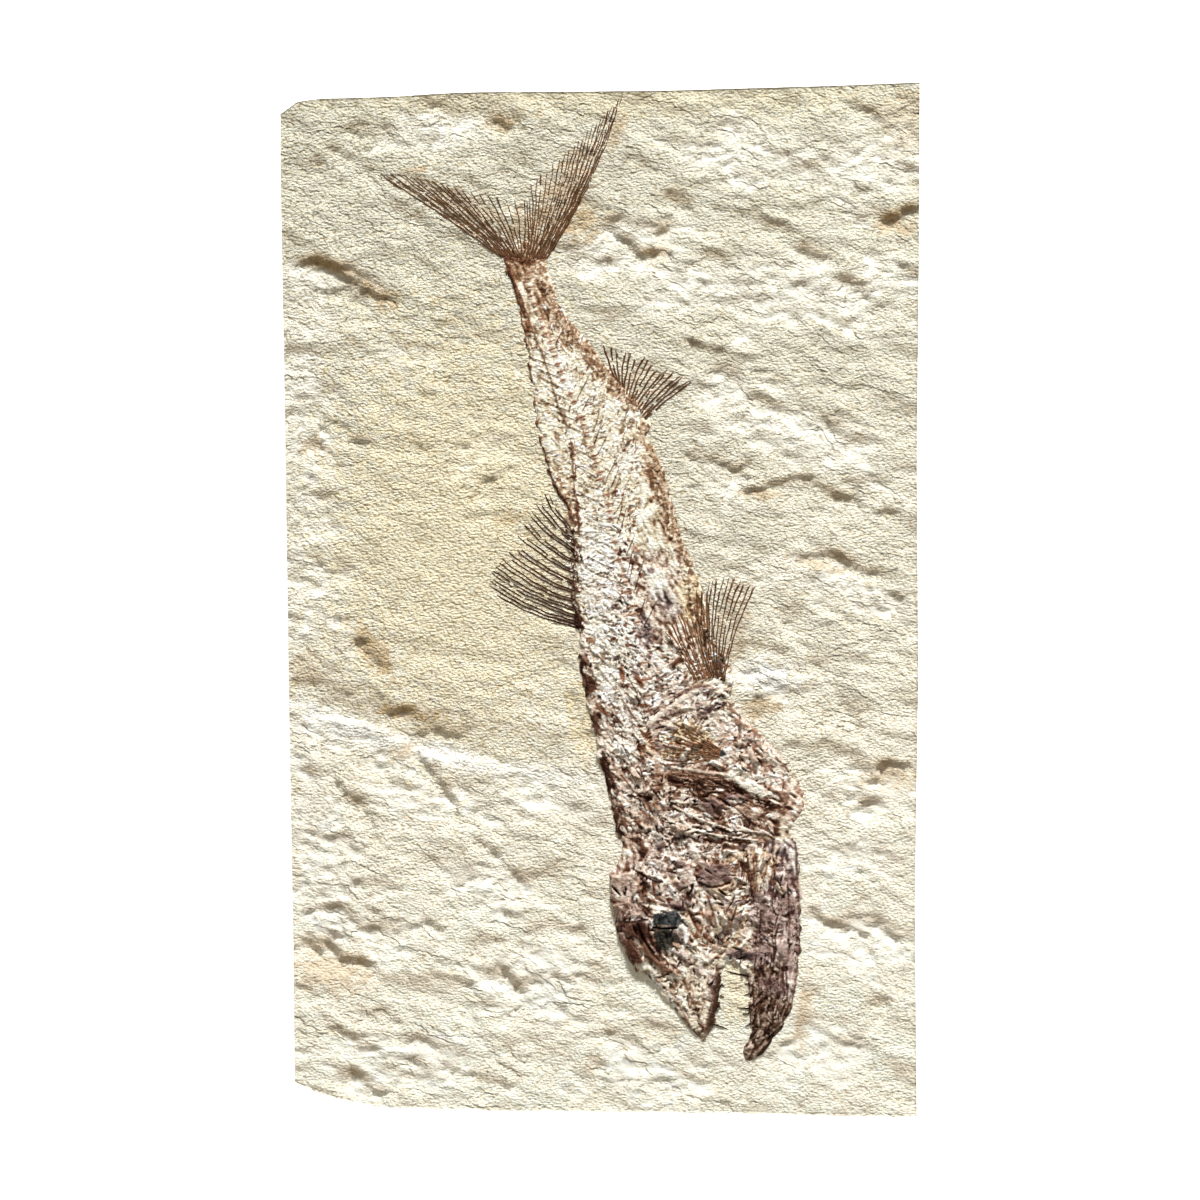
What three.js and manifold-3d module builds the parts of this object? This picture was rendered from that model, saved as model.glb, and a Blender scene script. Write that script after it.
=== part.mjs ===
// Fossil fish slab: the skeleton of a long-jawed fish pressed on the face of a limestone plate.
//
// Millimetres. The plate lies on its flat back, fossil face up: +Z is up, +Y runs towards the tail,
// and the fish's back is on the -X side. The origin is the middle of the plate's underside.

import * as THREE from "three";
import Module from "manifold-3d";

// ---------------------------------------------------------------- driving dimensions

const BEDDING = 15; // height of the bedding face that the fish lies on
const SKIN = 0.5; // thickness of the film of pressed skin and scales
const ON_SKIN = BEDDING + SKIN; // bones of the trunk lie on the film
const HEAD_BONE = 1.5; // height of the crushed skull bones
const SMALL_BONE = 1; // height of scutes, spine and shoulder bones
const RAY = 0.75; // height of a fin ray
const BEVEL = 0.3; // how far a plate's top edge is drawn in
const SHOULDER = 0.6; // height at which a plate's bevel starts, as a share of the plate's height

const COLUMNS = 28; // cells of the fossil face across the plate
const ROWS = 45; // cells of the fossil face along the plate
const SIDE_LEVELS = [0.68, 0.3, 0]; // heights of the broken side's rings, as shares of the bedding height
const SIDE_BITE = 1.3; // deepest hollow broken into the side
const LEAST_BITE = 0.15; // shallowest hollow, as a share of the deepest
const SWELL = 0.55; // gentle unevenness of the fossil face away from the fish
const FLAT_MARGIN = 5; // flat stone left round the fish
const BLEND = 9; // distance over which the unevenness grows from nothing to full

const VERTEBRAE = 36;
const VERTEBRA_WAIST = 0.62; // a vertebra's width between its rims, as a share of the width at them
const SPINE_WIDTH = [1.5, 2.4]; // across the backbone at the tail and at the skull

// ---------------------------------------------------------------- the plate's four sides

const BOTTOM_SIDE = [
  [-62.2, -98.4], [-57.5, -100.4], [-50.5, -102.5], [-44, -103.5], [-20, -104.1], [24, -104.6],
  [62.5, -105.5], [64.6, -105.2],
];
const TOP_SIDE = [
  [-65.2, 99], [-63.6, 101.3], [-57, 102.2], [-44.5, 102.5], [-28, 103.5], [12, 103.8], [46, 104.8],
  [65.2, 105.5],
];
const LEFT_SIDE = [[-62.2, -98.4], [-62.5, -70], [-63.4, -20], [-64.2, 38], [-65, 82], [-65.2, 99]];
const RIGHT_SIDE = [[64.6, -105.2], [64.2, -62], [64.9, -15], [64.6, 30], [65, 66], [65.2, 105.5]];

// ---------------------------------------------------------------- the relief of the fossil face

// A ledge is a broken bedding step. Its line runs with the low ground on the right hand; the low ground
// climbs back to the general level over the reach.
const LEDGES = [
  { drop: 1.7, reach: 13, line: [[-66, 67], [-58, 69.2], [-53.5, 67.5], [-48.5, 62.8], [-41, 60]] },
  { drop: 1.9, reach: 12, line: [[21.5, 28.4], [30.5, 22.8], [45, 22.7], [50, 20], [66, 16]] },
  {
    drop: 1.6, reach: 14,
    line: [[-18, -34.2], [-30.5, -32.3], [-38.4, -29.8], [-44.5, -26.2], [-66, -21.2]],
  },
  { drop: 1.3, reach: 9, line: [[-10, -62.5], [-23.7, -49.6], [-32.7, -37.6], [-38.6, -29.4]] },
  { drop: 1.2, reach: 8, line: [[-44.3, -51.3], [-49, -41], [-54.5, -32]] },
  { drop: 1.8, reach: 11, line: [[-66, -69.6], [-55, -71.2], [-49, -73], [-44, -77.4]] },
  { drop: 1.2, reach: 8, line: [[56, -31], [46, -16.6], [39.8, -9], [33.3, -4.2]] },
  { drop: 1.2, reach: 9, line: [[41.7, -63.5], [53, -68], [66, -70]] },
  { drop: 1.3, reach: 10, line: [[52, 76], [60, 78.4], [66, 81]] },
];

// The ground kept flat for the fish: rounded bars [x, y, radius] to [x, y, radius].
const FISH_GROUND = [
  [[-44, 86, 1], [-17, 73, 6]],
  [[3, 101, 1], [-13, 73, 6]],
  [[-15, 70, 5], [-2, 38, 11]],
  [[-2, 38, 11], [10, -10, 15]],
  [[10, -10, 15], [21, -40, 21]],
  [[21, -40, 21], [21, -65, 20]],
  [[21, -65, 20], [28, -88, 8]],
  [[-20, 6, 4], [-5, 5, 12]],
  [[16, 45, 3], [7, 42, 5]],
  [[28, 3, 3], [25, -15, 5]],
];

// ---------------------------------------------------------------- the fish

const BACK_LINE = [
  [-19.4, 69.3], [-16.6, 60], [-15, 51], [-13.6, 41], [-12.3, 32], [-9.6, 23.5], [-4.8, 15.5],
  [-4.4, 4], [-4.3, -6], [-4.2, -14], [-2, -24], [-0.4, -33], [2.4, -42], [3.6, -49.2],
];
const GILL_EDGE = [[12, -49.8], [24, -49.3], [33, -49], [38, -47.6]];
const BELLY_LINE = [
  [42.3, -41.5], [40.2, -36.5], [36, -31], [31.5, -26.5], [27, -21], [23.2, -16], [22, -8], [21.6, 0],
  [19.5, 6], [17, 12], [14.8, 19.5], [13, 26.5], [10.8, 31.5], [7.8, 35.6], [2.2, 42.6], [-0.6, 47.5],
  [-5, 54.5],
  [-8.6, 60.5], [-11, 69.2],
];
const SPINE_LINE = [
  [-15, 68.5], [-13.4, 60], [-8.5, 48], [-4, 37], [-0.5, 27], [2, 18], [4.2, 6], [8, -6], [9.6, -18],
  [11, -30], [12, -39], [12.6, -47.5],
];

const SHOULDER_LINE = [[14.4, -36], [20, -37], [26, -38], [31, -40], [35.4, -42.4]];

// Plates of bone, each drawn round its edge.
const PLATES = [
  {
    name: "hypural_plate", base: BEDDING, height: SMALL_BONE, color: 0x9a7a5c,
    edge: [[-19.2, 70], [-15.4, 69.8], [-11.6, 70], [-12.6, 72.6], [-15.6, 73.2], [-18, 72.6]],
  },
  {
    name: "skull_roof", base: BEDDING, height: HEAD_BONE, color: 0x6b4334,
    edge: [
      [1.6, -55.5], [2.3, -60], [3, -66], [4.6, -71], [7.2, -75.4], [11.5, -77.3], [15.2, -80.8],
      [17.6, -85],
      [19.3, -88.5], [21.4, -90.4], [22.6, -87.8], [20.6, -85.3], [20.2, -80], [17, -76.2], [12.2, -73],
      [9.8, -69], [9.5, -63.5], [11.6, -60.4], [12.4, -56.5], [8, -54.2],
    ],
  },
  {
    name: "gill_cover", base: BEDDING, height: HEAD_BONE, color: 0x66503f,
    edge: [
      [13.4, -51], [20, -50.4], [30, -50.2], [38.8, -50.4], [39, -57.4], [33, -58.6], [27, -60.4],
      [22, -59.3], [17.5, -56], [14, -54],
    ],
  },
  {
    name: "cheek_bones", base: BEDDING, height: HEAD_BONE, color: 0x8a6448,
    edge: [
      [13, -60.9], [16.5, -57.8], [21.6, -60.2], [27, -61.4], [31.4, -60.6], [30.6, -64], [29.6, -70],
      [29.2, -74.6], [26.4, -75.2], [22.8, -76.4], [20, -76.4], [17.9, -74.3], [18.4, -70.5], [17.9, -66],
      [16.8, -62.9], [13.6, -62.9],
    ],
  },
  {
    name: "eye_upper", base: BEDDING, height: HEAD_BONE, color: 0x2c3234,
    edge: [
      [10.4, -65.2], [11.2, -64.1], [13.4, -63.8], [15.8, -63.6], [16.9, -65.2], [16.1, -66.5],
      [13.4, -66.4],
      [10.9, -66.2],
    ],
  },
  {
    name: "eye_lower", base: BEDDING, height: HEAD_BONE, color: 0x33312a,
    edge: [
      [10.8, -67.1], [13.5, -67], [15.4, -67.5], [17.3, -70], [15.2, -70.6], [13.1, -71.5], [11.3, -69.8],
    ],
  },
  {
    name: "coracoid_plate", base: ON_SKIN, height: SMALL_BONE, color: 0xa8825c,
    edge: [[26, -43.4], [29.4, -42.4], [33.4, -43.4], [32.2, -46], [28.6, -45.6]],
  },
];

// Jaws: a plate of bone with a row of fangs. Each fang is [root, tip].
const JAWS = [
  {
    name: "upper_jaw", base: BEDDING, height: HEAD_BONE, color: 0x4a3328, fangWidth: 0.9,
    edge: [
      [24.6, -76.6], [25, -79.5], [24.2, -83.5], [23.4, -85.9], [22.2, -85.9], [21.8, -82.5], [22.3, -79],
      [23.2, -77.2],
    ],
    fangs: [
      [[24.6, -78], [26, -78.4]], [[24.4, -80.4], [25.9, -80.9]], [[23.9, -82.6], [25.2, -83.3]],
      [[23, -85.2], [26, -87.4]],
    ],
  },
  {
    name: "lower_jaw", base: BEDDING, height: HEAD_BONE, color: 0x5a3f3c, fangWidth: 1.1,
    edge: [
      [39.4, -58.2], [40.5, -64.5], [40.7, -71], [40.1, -77], [39.2, -82], [37.6, -86.5], [34.8, -90.2],
      [33, -93], [29.8, -94.6], [28.8, -92.2], [31, -88.8], [30.6, -84], [30.2, -78], [30.6, -71],
      [32, -64], [34, -59.4],
    ],
    fangs: [
      [[31.4, -76], [26.4, -75.9]], [[31.4, -78.9], [28.8, -78.4]], [[31.6, -83.2], [27.7, -82.9]],
      [[31.4, -85.6], [29, -85.6]],
    ],
  },
];

// Fins: rays spring from the root line and end on the tip line. Bow is each ray's sag to its left,
// looking from root to tip, as a share of its length.
const FINS = [
  {
    name: "caudal_fin_upper_lobe", base: BEDDING, color: 0x5c3f2b, rays: 15, bow: -0.05, width: [0.42, 0.6],
    root: [[-22.6, 71], [-20.2, 73.4], [-16.7, 75.3]],
    tips: [[-45, 86.4], [-40, 86.1], [-34, 85], [-28, 82.4], [-21.5, 82], [-16.2, 81]],
  },
  {
    name: "caudal_fin_lower_lobe", base: BEDDING, color: 0x5c3f2b, rays: 15, bow: 0.03, width: [0.4, 0.6],
    root: [[-14.9, 75], [-11.9, 73.6], [-10.6, 70.9]],
    tips: [[-14.8, 81.4], [-12.6, 86], [-7.6, 90], [-3, 94.4], [0.4, 97.8], [4.3, 102]],
  },
  {
    name: "dorsal_fin", base: BEDDING, color: 0x4b3a2c, rays: 18, bow: 0.1, width: [0.9, 0.4],
    root: [[-7.2, 17.8], [-5.7, 14], [-5.4, 4], [-5.4, -4.8]],
    tips: [[-11.5, 22], [-14.5, 18], [-16.6, 13.2], [-20.2, 8.4], [-22.8, 2.6]],
  },
  {
    name: "anal_fin", base: BEDDING, color: 0x6a4630, rays: 14, bow: 0.04, width: [0.85, 0.4],
    root: [[3.9, 42.6], [7.4, 39.2], [9.4, 36.2]],
    tips: [[0.8, 51.2], [5.4, 50.4], [9.8, 48.6], [14.4, 46.6], [18.4, 44.2]],
  },
  {
    name: "pelvic_fin_near", base: BEDDING, color: 0x5e4232, rays: 9, bow: -0.03, width: [0.9, 0.45],
    root: [[24.8, -16.4], [25.7, -17.4]],
    tips: [[22.9, 3.6], [26, 4.2], [28.6, 3.8], [31.4, 2.8]],
  },
  {
    name: "pelvic_fin_far", base: ON_SKIN, color: 0x93603c, rays: 8, bow: -0.03, width: [0.9, 0.45],
    root: [[20, -16.2], [21.4, -16.8]],
    tips: [[13.8, -6.6], [15.8, -4.4], [18, -3], [20.4, -2.4]],
  },
  {
    name: "pectoral_fin", base: ON_SKIN, color: 0x54402f, rays: 10, bow: 0.03, width: [0.9, 0.45],
    root: [[24.6, -31.8], [24.8, -30.6]],
    tips: [[14, -33.4], [13.6, -30.4], [14.6, -27.4], [17.6, -25]],
  },
];
const RAY_POINTS = 4; // points along a ray
const RAY_FALL = 0.45; // share of its height that a ray loses by its tip
const ROOT_STEPS = 6; // stretches along a fin's root band
const ROOT_WIDTH = 1.3; // width of the band that joins a fin's rays
const ROOT_HEIGHT = 0.95; // height of that band, a little over the rays'

// Scutes along the back, between the dorsal fin and the skull: middle x, y, length, width, lean in degrees.
const SCUTES = [
  [-3, -9.8, 5.6, 2, 8],
  [-2.4, -16.2, 5.4, 2.4, -10],
  [-0.6, -22.2, 5, 2.2, -28],
  [1, -27.6, 5, 2.4, -24],
  [1.8, -33.4, 4.8, 2.4, -8],
  [3.6, -38.8, 4.8, 2.6, -20],
  [5.2, -44.8, 5.2, 2.6, -12],
];
const SCUTE_POINTS = 10;

const STONE = 0xe6dfc6;
const SKIN_COLOR = 0xc9b797;
const SPINE_COLOR = 0xa3653f;
const SCUTE_COLOR = 0x57342a;
const SHOULDER_COLOR = 0x4a3626;

// ---------------------------------------------------------------- small tools

const wasm = await Module();
wasm.setup();

/** Repeatable value from 0 to 1 for a pair of whole numbers. */
function hash(i, j) {
  let n = Math.imul(i, 374761393) + Math.imul(j, 668265263);
  n = Math.imul(n ^ (n >>> 13), 1274126177);
  return ((n ^ (n >>> 16)) >>> 0) / 4294967296;
}

/** Smooth noise from -1 to 1, with one swell to each unit of x and y. */
function noise(x, y) {
  const i = Math.floor(x);
  const j = Math.floor(y);
  const u = THREE.MathUtils.smoothstep(x - i, 0, 1);
  const v = THREE.MathUtils.smoothstep(y - j, 0, 1);
  const low = THREE.MathUtils.lerp(hash(i, j), hash(i + 1, j), u);
  const high = THREE.MathUtils.lerp(hash(i, j + 1), hash(i + 1, j + 1), u);
  return 2 * THREE.MathUtils.lerp(low, high, v) - 1;
}

/** Point a share t of the way along a line of straight stretches. */
function along(line, t) {
  const lengths = line.slice(1).map((p, i) => Math.hypot(p[0] - line[i][0], p[1] - line[i][1]));
  let left = t * lengths.reduce((sum, length) => sum + length, 0);
  let k = 0;
  while (k < lengths.length - 1 && left > lengths[k]) {
    left -= lengths[k];
    k += 1;
  }
  const share = left / lengths[k];
  return new THREE.Vector2(
    THREE.MathUtils.lerp(line[k][0], line[k + 1][0], share),
    THREE.MathUtils.lerp(line[k][1], line[k + 1][1], share),
  );
}

/** Rounded curve through a few points. */
function curve(points) {
  return new THREE.SplineCurve(points.map(([x, y]) => new THREE.Vector2(x, y)));
}

/** Closed solid from [x, y, z] vertices and triangles. */
function solid(vertices, triangles) {
  const mesh = new wasm.Mesh({
    numProp: 3,
    vertProperties: new Float32Array(vertices.flat()),
    triVerts: new Uint32Array(triangles.flat()),
  });
  return new wasm.Manifold(mesh);
}

/** Named mesh of one colour from a closed solid. */
function part(name, shape, color, roughness = 0.8) {
  const mesh = shape.getMesh();
  const geometry = new THREE.BufferGeometry();
  geometry.setAttribute("position", new THREE.BufferAttribute(mesh.vertProperties, mesh.numProp));
  geometry.setIndex(new THREE.BufferAttribute(mesh.triVerts, 1));
  const material = new THREE.MeshStandardMaterial({ color, roughness, metalness: 0, flatShading: true });
  const made = new THREE.Mesh(geometry, material);
  made.name = name;
  return made;
}

/** The two triangles of a quad whose corners run anticlockwise seen from outside. */
function quad(a, b, c, d) {
  return [[a, b, c], [a, c, d]];
}

/** Walls between two rings of vertex numbers; seen from outside, the lower ring runs to the right. */
function wall(lower, upper) {
  return lower.flatMap((start, i) => {
    const next = (i + 1) % lower.length;
    return quad(start, lower[next], upper[next], upper[i]);
  });
}

// ---------------------------------------------------------------- the plate

/** Distance from a point to a rounded bar, negative inside it. */
function distanceToBar(x, y, [[ax, ay, ar], [bx, by, br]]) {
  const length2 = (bx - ax) ** 2 + (by - ay) ** 2;
  const t = THREE.MathUtils.clamp(((x - ax) * (bx - ax) + (y - ay) * (by - ay)) / length2, 0, 1);
  return Math.hypot(x - ax - t * (bx - ax), y - ay - t * (by - ay)) - THREE.MathUtils.lerp(ar, br, t);
}

/** How much lower the ground is beside a ledge: the full drop at its foot, nothing beyond its reach. */
function ledgeDrop(x, y, { drop, reach, line }) {
  let deepest = 0;
  for (let k = 0; k < line.length - 1; k += 1) {
    const [ax, ay] = line[k];
    const [bx, by] = line[k + 1];
    const length = Math.hypot(bx - ax, by - ay);
    const share = ((x - ax) * (bx - ax) + (y - ay) * (by - ay)) / length ** 2;
    const right = ((x - ax) * (by - ay) - (y - ay) * (bx - ax)) / length;
    const onStretch = share >= 0 && share <= 1 && right > 0 && right < reach;
    if (onStretch) deepest = Math.max(deepest, drop * (1 - right / reach));
  }
  return deepest;
}

/** Height of the fossil face: exactly the bedding height under the fish. */
function faceHeight(x, y) {
  const fromFish = Math.min(...FISH_GROUND.map((bar) => distanceToBar(x, y, bar)));
  const weight = THREE.MathUtils.smoothstep(fromFish, FLAT_MARGIN, FLAT_MARGIN + BLEND);
  if (weight === 0) return BEDDING;
  const swell = SWELL * (noise(x / 17, y / 13) + 0.6 * noise(x / 6, y / 5));
  const dropped = Math.max(...LEDGES.map((ledge) => ledgeDrop(x, y, ledge)));
  return BEDDING + weight * (swell - dropped);
}

/** Point of the fossil face at shares u across and v along, blended from the plate's four sides. */
function facePoint(u, v) {
  const sides = (list, t, other) => along(list, t).multiplyScalar(other);
  const corner = (list, end, weight) => new THREE.Vector2(...list[end]).multiplyScalar(weight);
  return sides(LEFT_SIDE, v, 1 - u)
    .add(sides(RIGHT_SIDE, v, u))
    .add(sides(BOTTOM_SIDE, u, 1 - v))
    .add(sides(TOP_SIDE, u, v))
    .sub(corner(BOTTOM_SIDE, 0, (1 - u) * (1 - v)))
    .sub(corner(BOTTOM_SIDE, BOTTOM_SIDE.length - 1, u * (1 - v)))
    .sub(corner(TOP_SIDE, 0, (1 - u) * v))
    .sub(corner(TOP_SIDE, TOP_SIDE.length - 1, u * v));
}

/** Vertex numbers round the rim of the face's grid, anticlockwise from above. */
function rimOfGrid(at) {
  const rim = [];
  for (let i = 0; i < COLUMNS; i += 1) rim.push(at(i, 0));
  for (let j = 0; j < ROWS; j += 1) rim.push(at(COLUMNS, j));
  for (let i = COLUMNS; i > 0; i -= 1) rim.push(at(i, ROWS));
  for (let j = ROWS; j > 0; j -= 1) rim.push(at(0, j));
  return rim;
}

/** Limestone plate: stepped fossil face, broken sides, flat back. */
function matrixSlab() {
  const at = (i, j) => j * (COLUMNS + 1) + i;
  const vertices = [];
  for (let j = 0; j <= ROWS; j += 1) {
    for (let i = 0; i <= COLUMNS; i += 1) {
      const { x, y } = facePoint(i / COLUMNS, j / ROWS);
      vertices.push([x, y, faceHeight(x, y)]);
    }
  }
  const triangles = [];
  for (let j = 0; j < ROWS; j += 1) {
    for (let i = 0; i < COLUMNS; i += 1) {
      triangles.push(...quad(at(i, j), at(i + 1, j), at(i + 1, j + 1), at(i, j + 1)));
    }
  }
  const rim = rimOfGrid(at);
  let upper = rim;
  SIDE_LEVELS.forEach((level, k) => {
    const lower = rim.map((v, i) => {
      const [x, y] = vertices[v];
      const bite = SIDE_BITE * THREE.MathUtils.lerp(LEAST_BITE, 1, hash(i, k + 7));
      const shrink = 1 - bite / Math.hypot(x, y);
      vertices.push([x * shrink, y * shrink, BEDDING * level]);
      return vertices.length - 1;
    });
    triangles.push(...wall(lower, upper));
    upper = lower;
  });
  const back = upper.map((v) => new THREE.Vector2(vertices[v][0], vertices[v][1]));
  for (const [a, b, c] of THREE.ShapeUtils.triangulateShape(back, [])) {
    triangles.push([upper[a], upper[c], upper[b]]);
  }
  return part("matrix_slab", solid(vertices, triangles), STONE, 0.9);
}

// ---------------------------------------------------------------- bones

/** Flat plate with its top edge bevelled. The edge may run either way round. */
function plateSolid(edge, base, height) {
  const points = edge.map(([x, y]) => new THREE.Vector2(x, y));
  if (THREE.ShapeUtils.area(points) < 0) points.reverse();
  const inset = points.map((point, i) => {
    const before = points.at(i - 1);
    const after = points[(i + 1) % points.length];
    const run = after.clone().sub(before).normalize();
    return point.clone().add(new THREE.Vector2(-run.y, run.x).multiplyScalar(BEVEL));
  });
  const shoulder = base + SHOULDER * height;
  const vertices = [
    ...points.map(({ x, y }) => [x, y, base]),
    ...points.map(({ x, y }) => [x, y, shoulder]),
    ...inset.map(({ x, y }) => [x, y, base + height]),
  ];
  const ring = (k) => points.map((_, i) => k * points.length + i);
  const under = THREE.ShapeUtils.triangulateShape(points, []).map(([a, b, c]) => [a, c, b]);
  const raised = (face) => face.map((v) => v + 2 * points.length);
  const over = THREE.ShapeUtils.triangulateShape(inset, []).map(raised);
  return solid(vertices, [...under, ...wall(ring(0), ring(1)), ...wall(ring(1), ring(2)), ...over]);
}

/** Ridge with a flat underside along a path; width and height are functions of the share along it. */
function ridgeSolid(path, widthAt, base, heightAt) {
  const vertices = [];
  const triangles = [];
  path.forEach((point, i) => {
    const before = path[Math.max(i - 1, 0)];
    const after = path[Math.min(i + 1, path.length - 1)];
    const run = after.clone().sub(before).normalize();
    const t = i / (path.length - 1);
    const half = widthAt(t) / 2;
    vertices.push([point.x + run.y * half, point.y - run.x * half, base]);
    vertices.push([point.x - run.y * half, point.y + run.x * half, base]);
    vertices.push([point.x, point.y, base + heightAt(t)]);
  });
  const ring = (i) => [3 * i, 3 * i + 1, 3 * i + 2];
  for (let i = 0; i < path.length - 1; i += 1) triangles.push(...wall(ring(i), ring(i + 1)));
  const [right, left, top] = ring(0);
  triangles.push([right, top, left], ring(path.length - 1));
  return solid(vertices, triangles);
}

/** Bowed path from a root to a tip. */
function bowedPath(root, tip, bow) {
  const middle = root.clone().add(tip).multiplyScalar(0.5);
  const run = tip.clone().sub(root);
  const control = middle.add(new THREE.Vector2(-run.y, run.x).multiplyScalar(2 * bow));
  return new THREE.QuadraticBezierCurve(root, control, tip).getPoints(RAY_POINTS - 1);
}

/** Fan of rays joined by a band along their roots. */
function fin({ name, base, color, rays, bow, width, root, tips }) {
  const rootCurve = curve(root);
  const tipCurve = curve(tips);
  let shape = ridgeSolid(rootCurve.getPoints(ROOT_STEPS), () => ROOT_WIDTH, base, () => ROOT_HEIGHT);
  for (let k = 0; k < rays; k += 1) {
    const t = k / (rays - 1);
    const path = bowedPath(rootCurve.getPoint(t), tipCurve.getPoint(t), bow);
    const taper = (s) => THREE.MathUtils.lerp(width[0], width[1], s);
    const fall = (s) => RAY * (1 - RAY_FALL * s);
    shape = shape.add(ridgeSolid(path, taper, base, fall));
  }
  return part(name, shape, color, 0.7);
}

/** Jaw bone with its fangs. */
function jaw({ name, base, height, color, fangWidth, edge, fangs }) {
  let shape = plateSolid(edge, base, height);
  for (const [root, tip] of fangs) {
    const path = bowedPath(new THREE.Vector2(...root), new THREE.Vector2(...tip), 0.04);
    const taper = (s) => THREE.MathUtils.lerp(fangWidth, 0.3, s);
    shape = shape.add(ridgeSolid(path, taper, base, (s) => height * (0.6 - 0.3 * s)));
  }
  return part(name, shape, color, 0.65);
}

/** Row of vertebrae: each is wide at its two rims and pinched between them. */
function spineColumn() {
  const path = curve(SPINE_LINE).getSpacedPoints(2 * VERTEBRAE);
  const rims = (t) => (Math.round(t * 2 * VERTEBRAE) % 2 === 0 ? 1 : VERTEBRA_WAIST);
  const size = (t) => THREE.MathUtils.lerp(...SPINE_WIDTH, t);
  const shape = ridgeSolid(path, (t) => rims(t) * size(t), ON_SKIN, (t) => rims(t) * SMALL_BONE);
  return part("spine_column", shape, SPINE_COLOR, 0.75);
}

/** The dark bowed bone behind the gills. */
function shoulderGirdle() {
  const path = curve(SHOULDER_LINE).getPoints(8);
  const width = (t) => 1.4 + 1.8 * Math.sin(Math.PI * t);
  return part("shoulder_girdle", ridgeSolid(path, width, ON_SKIN, () => SMALL_BONE), SHOULDER_COLOR, 0.6);
}

/** One scute: a pointed oval, leaning along the back. */
function scute([x, y, length, width, lean], k) {
  const edge = [];
  for (let i = 0; i < SCUTE_POINTS; i += 1) {
    const angle = (2 * Math.PI * i) / SCUTE_POINTS;
    const reach = 0.85 + 0.3 * hash(i, k + 31);
    const offset = new THREE.Vector2((width / 2) * Math.cos(angle) * reach, (length / 2) * Math.sin(angle));
    offset.rotateAround(new THREE.Vector2(), THREE.MathUtils.degToRad(-lean));
    edge.push([x + offset.x, y + offset.y]);
  }
  return part(`back_scute_${k + 1}`, plateSolid(edge, ON_SKIN, SMALL_BONE), SCUTE_COLOR, 0.6);
}

// ---------------------------------------------------------------- the whole

const fossil = new THREE.Group();
fossil.name = "fossil_fish_slab";
fossil.add(matrixSlab());
const bodyEdge = [...BACK_LINE, ...GILL_EDGE, ...BELLY_LINE];
fossil.add(part("body_skin", plateSolid(bodyEdge, BEDDING, SKIN), SKIN_COLOR, 0.85));
fossil.add(spineColumn(), shoulderGirdle());
for (const { name, edge, base, height, color } of PLATES) {
  fossil.add(part(name, plateSolid(edge, base, height), color, 0.65));
}
fossil.add(...JAWS.map(jaw));
fossil.add(...FINS.map(fin));
fossil.add(...SCUTES.map(scute));

export default fossil;
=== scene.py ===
"""Fossil fish slab: fine relief, bones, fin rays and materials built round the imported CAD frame.

Lengths are millimetres in the part's own frame: +Z up, +Y towards the tail, the fish's back on the -X side.
They are turned into metres when a mesh is made. The height of the bedding face, the plate's outline and each
bone's outline are read from the frame.
"""

import math

import bmesh
import bpy
import numpy as np
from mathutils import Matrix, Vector
from mathutils.bvhtree import BVHTree


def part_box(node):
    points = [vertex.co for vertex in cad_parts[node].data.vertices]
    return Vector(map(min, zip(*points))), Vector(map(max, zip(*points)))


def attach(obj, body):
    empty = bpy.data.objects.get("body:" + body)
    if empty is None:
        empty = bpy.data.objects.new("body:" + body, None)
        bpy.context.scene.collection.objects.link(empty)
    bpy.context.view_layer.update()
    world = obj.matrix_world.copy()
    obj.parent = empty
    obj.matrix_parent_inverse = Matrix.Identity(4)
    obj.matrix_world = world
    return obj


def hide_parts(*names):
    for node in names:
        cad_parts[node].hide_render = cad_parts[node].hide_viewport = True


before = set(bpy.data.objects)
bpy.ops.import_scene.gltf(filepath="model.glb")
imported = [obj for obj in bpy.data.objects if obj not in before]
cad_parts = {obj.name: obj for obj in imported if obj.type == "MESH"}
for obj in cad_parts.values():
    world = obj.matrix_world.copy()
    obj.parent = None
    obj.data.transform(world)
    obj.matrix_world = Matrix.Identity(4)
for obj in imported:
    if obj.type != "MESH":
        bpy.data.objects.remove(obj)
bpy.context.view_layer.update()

MM = 0.001
RNG = np.random.default_rng(2024)
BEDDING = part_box("body_skin")[0].z / MM  # height of the face that the fish lies on


# ------------------------------------------------------------ camera

VIEW_WIDTH = 244.6  # width of the picture at the bedding face
VIEW_DISTANCE = 2000.0
SENSOR = 36  # width of the camera's sensor
CLIP_END = 20  # metres


def add_camera():
    """Long lens straight above the plate."""
    data = bpy.data.cameras.new("camera")
    data.sensor_width = SENSOR
    data.lens = SENSOR * VIEW_DISTANCE / VIEW_WIDTH
    data.clip_end = CLIP_END
    camera = bpy.data.objects.new("camera", data)
    camera.location = (0, 0, (BEDDING + VIEW_DISTANCE) * MM)
    bpy.context.scene.collection.objects.link(camera)
    bpy.context.scene.camera = camera


add_camera()


# ------------------------------------------------------------ noise

# Odd numbers that scatter the bits of a whole number.
HASH_I, HASH_J, HASH_SEED, HASH_MIX = 374761393, 668265263, 974711, 1274126177
BITS_32, BITS_24 = 0xFFFFFFFF, 0xFFFFFF


def lattice(i, j, seed):
    """Repeatable value from 0 to 1 for each pair of whole numbers."""
    n = (i.astype(np.int64) * HASH_I + j.astype(np.int64) * HASH_J + seed * HASH_SEED) & BITS_32
    n = ((n ^ (n >> 13)) * HASH_MIX) & BITS_32
    return ((n ^ (n >> 16)) & BITS_24) / float(BITS_24)


def eased(t):
    """Step from 0 to 1 that leaves no crease at either end."""
    return t * t * t * (t * (t * 6 - 15) + 10)


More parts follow.
